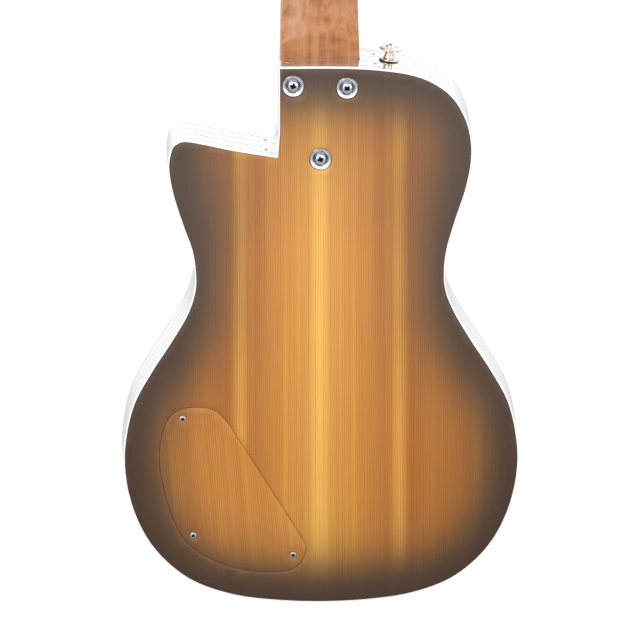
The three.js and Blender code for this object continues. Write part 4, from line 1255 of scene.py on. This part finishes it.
def build_controls():
    for name in ("volume", "tone"):
        x, z = control_place(name)
        dress(f"{name}_pot", STEEL)
        build_knob(name, x, z)
        washer = [(4.9, 0.05), (7.6, 0.05), (7.6, 0.7), (7.2, 0.9), (4.9, 0.9), (4.9, 0.05)]
        make_turned(f"{name}_washer", washer, 40, facing_front(x, z), NICKEL, "nickel")
    x, z = control_place("selector")
    dress("selector_switch", STEEL)
    nut = [(4.9, 0.05), (8.4, 0.05), (8.4, 0.8), (7.0, 1.1), (6.8, 3.2), (6.2, 3.6), (4.9, 3.6),
           (4.9, 0.05)]
    make_turned("selector_nut", nut, 48, facing_front(x, z), NICKEL, "nickel", sharp=40)
    lever = [(0, -5.6), (1.8, -4.8), (2.6, -3), (1.9, -1.4), (1.5, -0.6), (1.5, 12), (2.3, 12.4),
             (3.3, 13.6)]
    lever += [(3.9 * cos(t), 16 + 3.6 * sin(t)) for t in np.linspace(-0.4, pi / 2, 9)]
    lever[-1] = (0, 19.6)
    make_turned("selector_tip", lever, 32, facing_front(x, z), BONE, "bone", body="selector_lever",
                replaces="selector_lever", sharp=45)


def build_knob(name, x, z):
    """A tapered knob with a knurled skirt, a domed top and a pointer line."""
    teeth = 36
    body = [(0, -12), (3, -12), (3, 4.5), (8.6, 4.5), (9.3, 5.0), (9.4, 5.6), (9.2, 6.4)]
    body += [(9.2 - 1.2 * t, 6.4 + 8.8 * t) for t in np.linspace(0.1, 1, 6)]
    body += [(7.7, 16.2), (7.0, 17.1), (6.0, 17.6), (3.5, 17.9), (0, 18)]
    verts, faces = lathe(body, teeth * 4)
    knurled = []
    for px, py, pz in verts:
        radius = hypot(px, py)
        if 6.6 < pz < 16.4 and radius > 7:
            angle = atan2(py, px)
            shrink = 1 - 0.022 * (0.5 + 0.5 * cos(angle * teeth))
            px, py = px * shrink, py * shrink
        knurled.append((px, py, pz))
    place = facing_front(x, z)
    make(f"{name}_grip", *moved_part((knurled, faces), place), NICKEL, "nickel",
         body=f"{name}_knob", replaces=f"{name}_knob", sharp=50)
    pointer = soft_box((-0.35, 2.2, 17.55), (0.35, 6.0, 18.02), 0.1, 2)
    make(f"{name}_pointer", *moved_part(pointer, place), BLACK, "black_plastic", body=f"{name}_knob")


def build_jack():
    down = toward(Vector((JACK_X, -JACK_DEPTH, 0)), (0, 0, -1))
    barrel = [(3.3, -21), (3.3, 2.8), (3.5, 3.1), (5.2, 3.1), (5.6, 2.9), (5.8, 2.6), (5.8, -24),
              (3.3, -24), (3.3, -21)]
    make_turned("jack_barrel", barrel, 48, down, STEEL, "steel", replaces="output_jack", sharp=40)
    washer = [(5.9, 1.1), (7.3, 1.1), (7.4, 1.25), (7.3, 1.4), (5.9, 1.5), (5.9, 1.1)]
    make_turned("jack_washer", washer, 48, down, NICKEL, "nickel")
    hexagon = [(7.4 * cos(pi / 3 * k), 7.4 * sin(pi / 3 * k)) for k in range(6)]
    nut = loft([[(px, py, h) for px, py in hexagon] for h in (1.5, 3.0)])
    made = make("jack_nut", *moved_part(nut, down), NICKEL, "nickel", sharp=30)
    carve(made, moved_part(plug(5.85, 0, 9, 40), down))


def build_strap_buttons():
    above = 2 * FIT + BAND
    profile = [(0, 0), (6.6, 0), (7.0, 0.3), (7.0, 0.9), (6.4, 1.3), (5.2, 1.9), (4.3, 2.9), (3.85, 4.2),
               (3.8, 5.6), (4.1, 6.8), (5.2, 7.8), (7.2, 8.3), (8.6, 8.6), (8.95, 9.1), (8.95, 9.8),
               (8.5, 10.3), (7.4, 10.7), (4.6, 10.8), (0, 10.8)]
    felt = [(0, -0.1), (7.6, -0.1), (7.8, 0.1), (7.0, 0.5), (0, 0.5)]
    tilt = radians(8.5)
    tail = toward(Vector((0, -51, -above)), (0, 0, -1))
    upper = toward(Vector((-53.4, -30, 428 + above)), (-sin(tilt), 0, cos(tilt)))
    for name, place, dome, turn in (("tail", tail, 0.9, 0.2), ("upper", upper, 1.9, 0.6)):
        make_turned(f"{name}_button", profile, 56, place, NICKEL, "nickel",
                    replaces=f"strap_button_{name}", sharp=40)
        lift = place @ Matrix.Translation((0, 0, 10.85))
        cross_screw(f"{name}_button_screw", lift, 4.0, dome, sunk=0.2, turn=turn, material=NICKEL)
        make_turned(f"{name}_button_felt", felt, 48, place, BLACK, "black_plastic")


# ---------------------------------------------------------------- tuners and strings

def tuner_place(string):
    side = 1 if string <= 3 else -1
    return side, POST_HEIGHTS[string - 1 if side > 0 else 6 - string]


def build_tuner_plate(side):
    near, far = HEAD_THICKNESS + FIT, HEAD_THICKNESS + 1.5
    x0, x1, z0, z1 = 13, 34, POST_HEIGHTS[0] - 20, POST_HEIGHTS[2] + 14
    loop, bend = [], 4
    for x, z, start in ((x1 - bend, z1 - bend, 0), (x0 + bend, z1 - bend, 90),
                        (x0 + bend, z0 + bend, 180), (x1 - bend, z0 + bend, 270)):
        turns = [radians(a) for a in range(start, start + 91, 15)]
        loop += [(x + bend * cos(a), z + bend * sin(a)) for a in turns]
    holes = [circle(POST_X, h, POST_RADIUS + 0.4, 28) for h in POST_HEIGHTS]
    verts, faces = plate(loop, holes, near, far, 0.25, step=6)
    name = "treble" if side > 0 else "bass"
    make(f"tuner_base_{name}", [(x * side, -y, z) for x, y, z in verts], faces, NICKEL, "nickel",
         matrix=HEAD, sharp=40, replaces=f"tuner_plate_{name}")
    for k, height in enumerate(POST_HEIGHTS):
        worm = height - WORM_OFFSET
        for j, (a, b) in enumerate(((14, 15.5), (29.5, 31))):
            ear = [(3.6 * cos(t), 3.4 * sin(t)) for t in np.linspace(0, pi, 13)]
            ring = [(py, WORM_DEPTH + pz) for py, pz in ear] + [(-3.6, far - 0.2), (3.6, far - 0.2)]
            part = loft([[(side * x, depth, worm + pz) for pz, depth in ring] for x in (a, b)])
            made = make(f"tuner_ear_{name}_{k + 1}_{j + 1}", *part, NICKEL, "nickel", matrix=HEAD,
                        sharp=40)
            turn = Matrix.Translation((side * (a + b) / 2, WORM_DEPTH, worm)) @ spin(90, "Y")
            carve(made, moved_part(plug(WORM_SHAFT + 0.12, -3, 3), HEAD @ turn))
    between = [(a + b) / 2 + 6 for a, b in zip(POST_HEIGHTS, POST_HEIGHTS[1:])]
    for k, z in enumerate((z0 + 5, *between, z1 - 5)):
        place = HEAD @ facing_back(side * 23.5, z, -far)
        cross_screw(f"tuner_screw_{name}_{k + 1}", place, 1.9, 0.7, sunk=0.3, turn=k)


def helix_worm(radius_out, radius_in, pitch, length):
    """A screw thread along z: rings of points whose radius follows the thread."""
    count = steps = 24
    rings = []
    slices = int(length / pitch * steps)
    for s in range(slices + 1):
        z = length * s / slices
        ring = []
        for k in range(count):
            angle = 2 * pi * k / count
            phase = (z / pitch - k / count) % 1
            bump = 0.5 + 0.5 * cos(2 * pi * phase)
            fade = min(1, z / pitch, (length - z) / pitch)
            radius = radius_in + (radius_out - radius_in) * bump ** 0.8 * fade
            ring.append((radius * cos(angle), radius * sin(angle), z))
        rings.append(ring)
    return loft(rings)


def tuner_button(side):
    """A kidney-shaped cast button, seen along the shaft as a flat oval."""
    rings = []
    for t in np.linspace(-1, 1, 21):
        width = 9.4 * sqrt(max(1 - abs(t) ** 2.6, 0.0004))
        thick = (4.2 - 0.9 * (1 - t) * 0.5) * sqrt(max(1 - abs(t) ** 3, 0.0004))
        waist = 1 - 0.10 * exp(-((t + 0.75) / 0.3) ** 2)
        x = side * (BUTTON_X + 7.6 * t)
        rings.append([(x, thick * sin(a) * waist, width * cos(a) * waist)
                      for a in np.linspace(0, 2 * pi, 40, endpoint=False)])
    return loft(rings)


def build_tuner(string):
    side, height = tuner_place(string)
    axis_z = height - WORM_OFFSET
    to_worm = Matrix.Translation((0, WORM_DEPTH, axis_z))
    along_x = spin(90, "Y")
    start = 16.2 if side > 0 else -28.8
    thread = moved_part(helix_worm(2.35, 1.75, 2 * pi * 5.4 / GEAR_TEETH, 12.6),
                        Matrix.Translation((start, 0, 0)) @ along_x)
    low, high = sorted((side * 13.2, side * (BUTTON_X - 5)))
    length = high - low
    rod = lathe([(0, 0), (WORM_SHAFT - 0.2, 0), (WORM_SHAFT, 0.3), (WORM_SHAFT, length - 0.1),
                 (0, length)], 24)
    rod = moved_part(rod, Matrix.Translation((low, 0, 0)) @ along_x)
    collar = lathe([(0, 0), (2.6, 0), (3.0, 0.4), (2.7, 3.4), (0, 3.4)], 28)
    collar = moved_part(collar, Matrix.Translation((side * 42.6, 0, 0)) @ spin(90 * side, "Y"))
    body = f"tuner_button_{string}"
    make(f"tuner_thread_{string}", *moved_part(thread, to_worm), NICKEL, "nickel", body, matrix=HEAD,
         sharp=60, replaces=f"tuner_worm_{string}")
    make(f"tuner_rod_{string}", *moved_part(joined(rod, collar), to_worm), NICKEL, "nickel", body,
         matrix=HEAD)
    make(f"tuner_grip_{string}", *moved_part(tuner_button(side), to_worm), NICKEL, "nickel", body,
         matrix=HEAD, sharp=50)
    build_post(string, side, height)


def build_post(string, side, height):
    body = f"tuner_post_{string}"
    wheel = []
    for i in range(GEAR_TEETH * 8):
        phase = (i / 8) % 1
        radius = 5.35 + 0.6 * max(-1, min(1, 1.6 * cos(2 * pi * (phase - 0.5))))
        angle = 2 * pi * i / (GEAR_TEETH * 8)
        wheel.append((radius * cos(angle), radius * sin(angle)))
    gear = loft([[(x * s, y * s, h) for x, y in wheel]
                 for h, s in ((-1.8, 0.95), (-1.5, 1), (1.5, 1), (1.8, 0.95))])
    back = Matrix.Translation((side * POST_X, WORM_DEPTH, height)) @ spin(-90, "X")
    make(f"tuner_wheel_{string}", *moved_part(gear, back), NICKEL, "nickel", body, matrix=HEAD, sharp=40,
         replaces=f"tuner_post_{string}")
    on_wheel = HEAD @ back @ Matrix.Translation((0, 0, 1.8))
    cross_screw(f"wheel_screw_{string}", on_wheel, 2.3, 0.8, body, sunk=0.3)
    post = [(0, -WORM_DEPTH), (3, -WORM_DEPTH), (3, 8.2), (2.75, 9), (2.75, 11.6), (3, 12.4), (3, 15.2),
            (2.6, 15.8), (0, 16)]
    front = Matrix.Translation((side * POST_X, 0, height)) @ spin(90, "X")
    made = make_turned(f"tuner_post_pin_{string}", post, 36, front, NICKEL, "nickel", body, matrix=HEAD,
                       sharp=40)
    across = Matrix.Translation((side * POST_X, -13.4, height)) @ spin(35 * side, "Y")
    carve(made, moved_part(plug(0.9, -5, 5, 16), HEAD @ across))
    bush = [(3.35, 0.05), (5.2, 0.05), (5.2, 0.6), (4.4, 1.5), (3.35, 1.6), (3.35, 0.05)]
    make_turned(f"post_bush_{string}", bush, 36, front, NICKEL, "nickel", matrix=HEAD)
    build_winding(string, side, height)


def tube(points, radius, sides):
    """A round tube through points, whose rings turn as little as they can."""
    points = [Vector(p) for p in points]
    rings, side_way = [], None
    for i, point in enumerate(points):
        along = (points[min(i + 1, len(points) - 1)] - points[max(i - 1, 0)]).normalized()
        if side_way is None:
            side_way = along.orthogonal().normalized()
        side_way = (side_way - along * side_way.dot(along)).normalized()
        other = along.cross(side_way)
        rings.append([point + radius * (side_way * cos(a) + other * sin(a))
                      for a in np.linspace(0, 2 * pi, sides, endpoint=False)])
    return loft(rings)


def build_winding(string, side, height):
    """The turns that the string makes round its post, which turn with it."""
    radius = STRING_DIAMETERS[string - 1] / 2
    turns = (5.2, 4.6, 4.0, 3.2, 2.8, 2.4)[string - 1]
    reach = POST_RADIUS + radius + WIRE_GAP
    pitch = 2 * radius + 0.06
    points = []
    count = int(turns * 20)
    for k in range(count + 1):
        angle = 2 * pi * k / 20 * -side
        points.append((side * (POST_X - reach * cos(angle)), pitch * k / 20 - 10,
                       height + side * reach * sin(angle)))
    material = WOUND_WIRE if string >= WOUND_FROM else PLAIN_WIRE
    make(f"winding_{string}", *tube(points, radius, 8), material, "string_metal",
         f"tuner_post_{string}", matrix=HEAD)


def build_string(string):
    radius = STRING_DIAMETERS[string - 1] / 2
    side, height = tuner_place(string)
    x, nut_x = string_x(string, SADDLE_SPACING), string_x(string, NUT_SPACING)
    post = HEAD @ Vector((side * (POST_X - POST_RADIUS - radius - WIRE_GAP), -10, height))
    route = [Vector((x, -(TAIL_BAR + 1.5), TAIL_BAR_Z - 10.4)),
             Vector((x, -(TAIL_BAR + 1.0 + radius), TAIL_BAR_Z - 6)),
             Vector((x, -STRING_AT_SADDLE, SADDLE_Z - 1.0)),
             Vector((x, -STRING_AT_SADDLE - 0.02, SADDLE_Z + 0.5))]
    nut_start = Vector((nut_x, -STRING_AT_NUT, NUT_Z + FIT))
    for share in (0.25, 0.5, 0.75):
        route.append(route[3].lerp(nut_start, share))
    route += [nut_start, Vector((nut_x, -STRING_AT_NUT, NUT_Z + NUT_LENGTH - 0.6)), post]
    material = WOUND_WIRE if string >= WOUND_FROM else PLAIN_WIRE
    make(f"string_wire_{string}", *tube(route, radius, 12), material, "string_metal",
         replaces=f"string_{string}")


# ---------------------------------------------------------------- camera, light and stage

CAMERA_ELEVATION = 16.0
CAMERA_YAW = 1.5  # towards the treble side
CAMERA_DISTANCE = 20.0
VIEW_WIDTH = 0.4982  # metres across the picture at the back's surface
VIEW_CENTRE = Vector((0.9, 0.0, 228.2))  # millimetres


def build_camera():
    camera = bpy.data.cameras.new("camera")
    camera.sensor_width = 36
    camera.lens = camera.sensor_width * CAMERA_DISTANCE / VIEW_WIDTH
    camera.clip_start, camera.clip_end = 1, 400
    eye = linked("camera", camera)
    lift, yaw = radians(CAMERA_ELEVATION), radians(CAMERA_YAW)
    back = Vector((sin(yaw) * cos(lift), cos(yaw) * cos(lift), sin(lift)))
    eye.location = MM_TO_ROW @ VIEW_CENTRE + back * CAMERA_DISTANCE
    eye.rotation_euler = (-back).to_track_quat("-Z", "Y").to_euler()
    bpy.context.scene.camera = eye


def flat(name, corners, material):
    """A rectangle of the set, in metres, that neither shades nor tints the object."""
    mesh = bpy.data.meshes.new(name)
    mesh.from_pydata(corners, [], [(0, 1, 2, 3)])
    mesh.materials.append(material)
    made = linked(name, mesh)
    made.visible_diffuse = made.visible_shadow = False
    return made


def build_stage():
    corners = [(x * FLOOR_REACH, y * FLOOR_REACH, FLOOR_LEVEL)
               for x, y in ((-1, -1), (1, -1), (1, 1), (-1, 1))]
    floor = flat("floor", corners, glowing_white("pale_floor"))
    floor.visible_glossy = False


def build_card():
    """A dark card that only reflections see, where a photographer would stand."""
    grey = bpy.data.materials.new("card_grey")
    grey.use_nodes = True
    grey.node_tree.nodes["Principled BSDF"].inputs["Base Color"].default_value = (0.03, 0.03, 0.03, 1)
    corners = [(x * CARD_ACROSS, CARD_AWAY, z)
               for x, z in ((-1, CARD_LOW), (1, CARD_LOW), (1, CARD_HIGH), (-1, CARD_HIGH))]
    card = flat("card", corners, grey)
    card.visible_camera = False


def build_world():
    """A white studio, bright overhead and greyer low down."""
    world = bpy.data.worlds.new("studio")
    world.use_nodes = True
    bpy.context.scene.world = world
    tree = world.node_tree
    place = tree.nodes.new("ShaderNodeTexCoord")
    split = tree.nodes.new("ShaderNodeSeparateXYZ")
    rise = tree.nodes.new("ShaderNodeMapRange")
    rise.inputs["From Min"].default_value = -1
    ramp = tree.nodes.new("ShaderNodeValToRGB")
    while len(ramp.color_ramp.elements) < len(WORLD_SHADES):
        ramp.color_ramp.elements.new(0.5)
    for element, (at, grey) in zip(ramp.color_ramp.elements, WORLD_SHADES):
        element.position = at
        element.color = (grey, grey, grey, 1)
    tree.links.new(place.outputs["Generated"], split.inputs[0])
    tree.links.new(split.outputs["Z"], rise.inputs["Value"])
    tree.links.new(rise.outputs[0], ramp.inputs[0])
    tree.links.new(ramp.outputs[0], tree.nodes["Background"].inputs["Color"])
    tree.nodes["Background"].inputs["Strength"].default_value = WORLD_STRENGTH


def soft_light(name, place, size, power):
    lamp = bpy.data.lights.new(name, "AREA")
    lamp.shape = "RECTANGLE"
    lamp.size, lamp.size_y = size
    lamp.energy = power
    made = linked(name, lamp)
    aim = MM_TO_ROW @ Vector((0, -30, 260))
    made.location = place
    made.rotation_euler = (aim - Vector(place)).to_track_quat("-Z", "Y").to_euler()
    made.visible_camera = False


def build_lights():
    soft_light("key_back", (1.0, 1.6, 0.8), (1.0, 1.0), 15)
    soft_light("fill_back", (-1.8, 1.6, 0.2), (1.4, 1.8), 7)
    soft_light("key_front", (-1.0, -1.6, 0.8), (1.0, 1.0), 15)
    soft_light("fill_front", (1.8, -1.6, 0.2), (1.4, 1.8), 7)
    bpy.context.scene.view_settings.view_transform = "Standard"


build_camera()
build_stage()
build_card()
build_world()
build_lights()
build_body()
build_neck()
build_fretboard()
build_nut()
build_rod_cover()
build_neck_bolts()
build_resonator()
build_coverplate()
build_hand_rest()
build_tailpiece()
build_pickup()
build_controls()
build_jack()
build_strap_buttons()
for tuner_side in (1, -1):
    build_tuner_plate(tuner_side)
for string_number in STRINGS:
    build_tuner(string_number)
    build_string(string_number)
dress("truss_rod", STEEL)
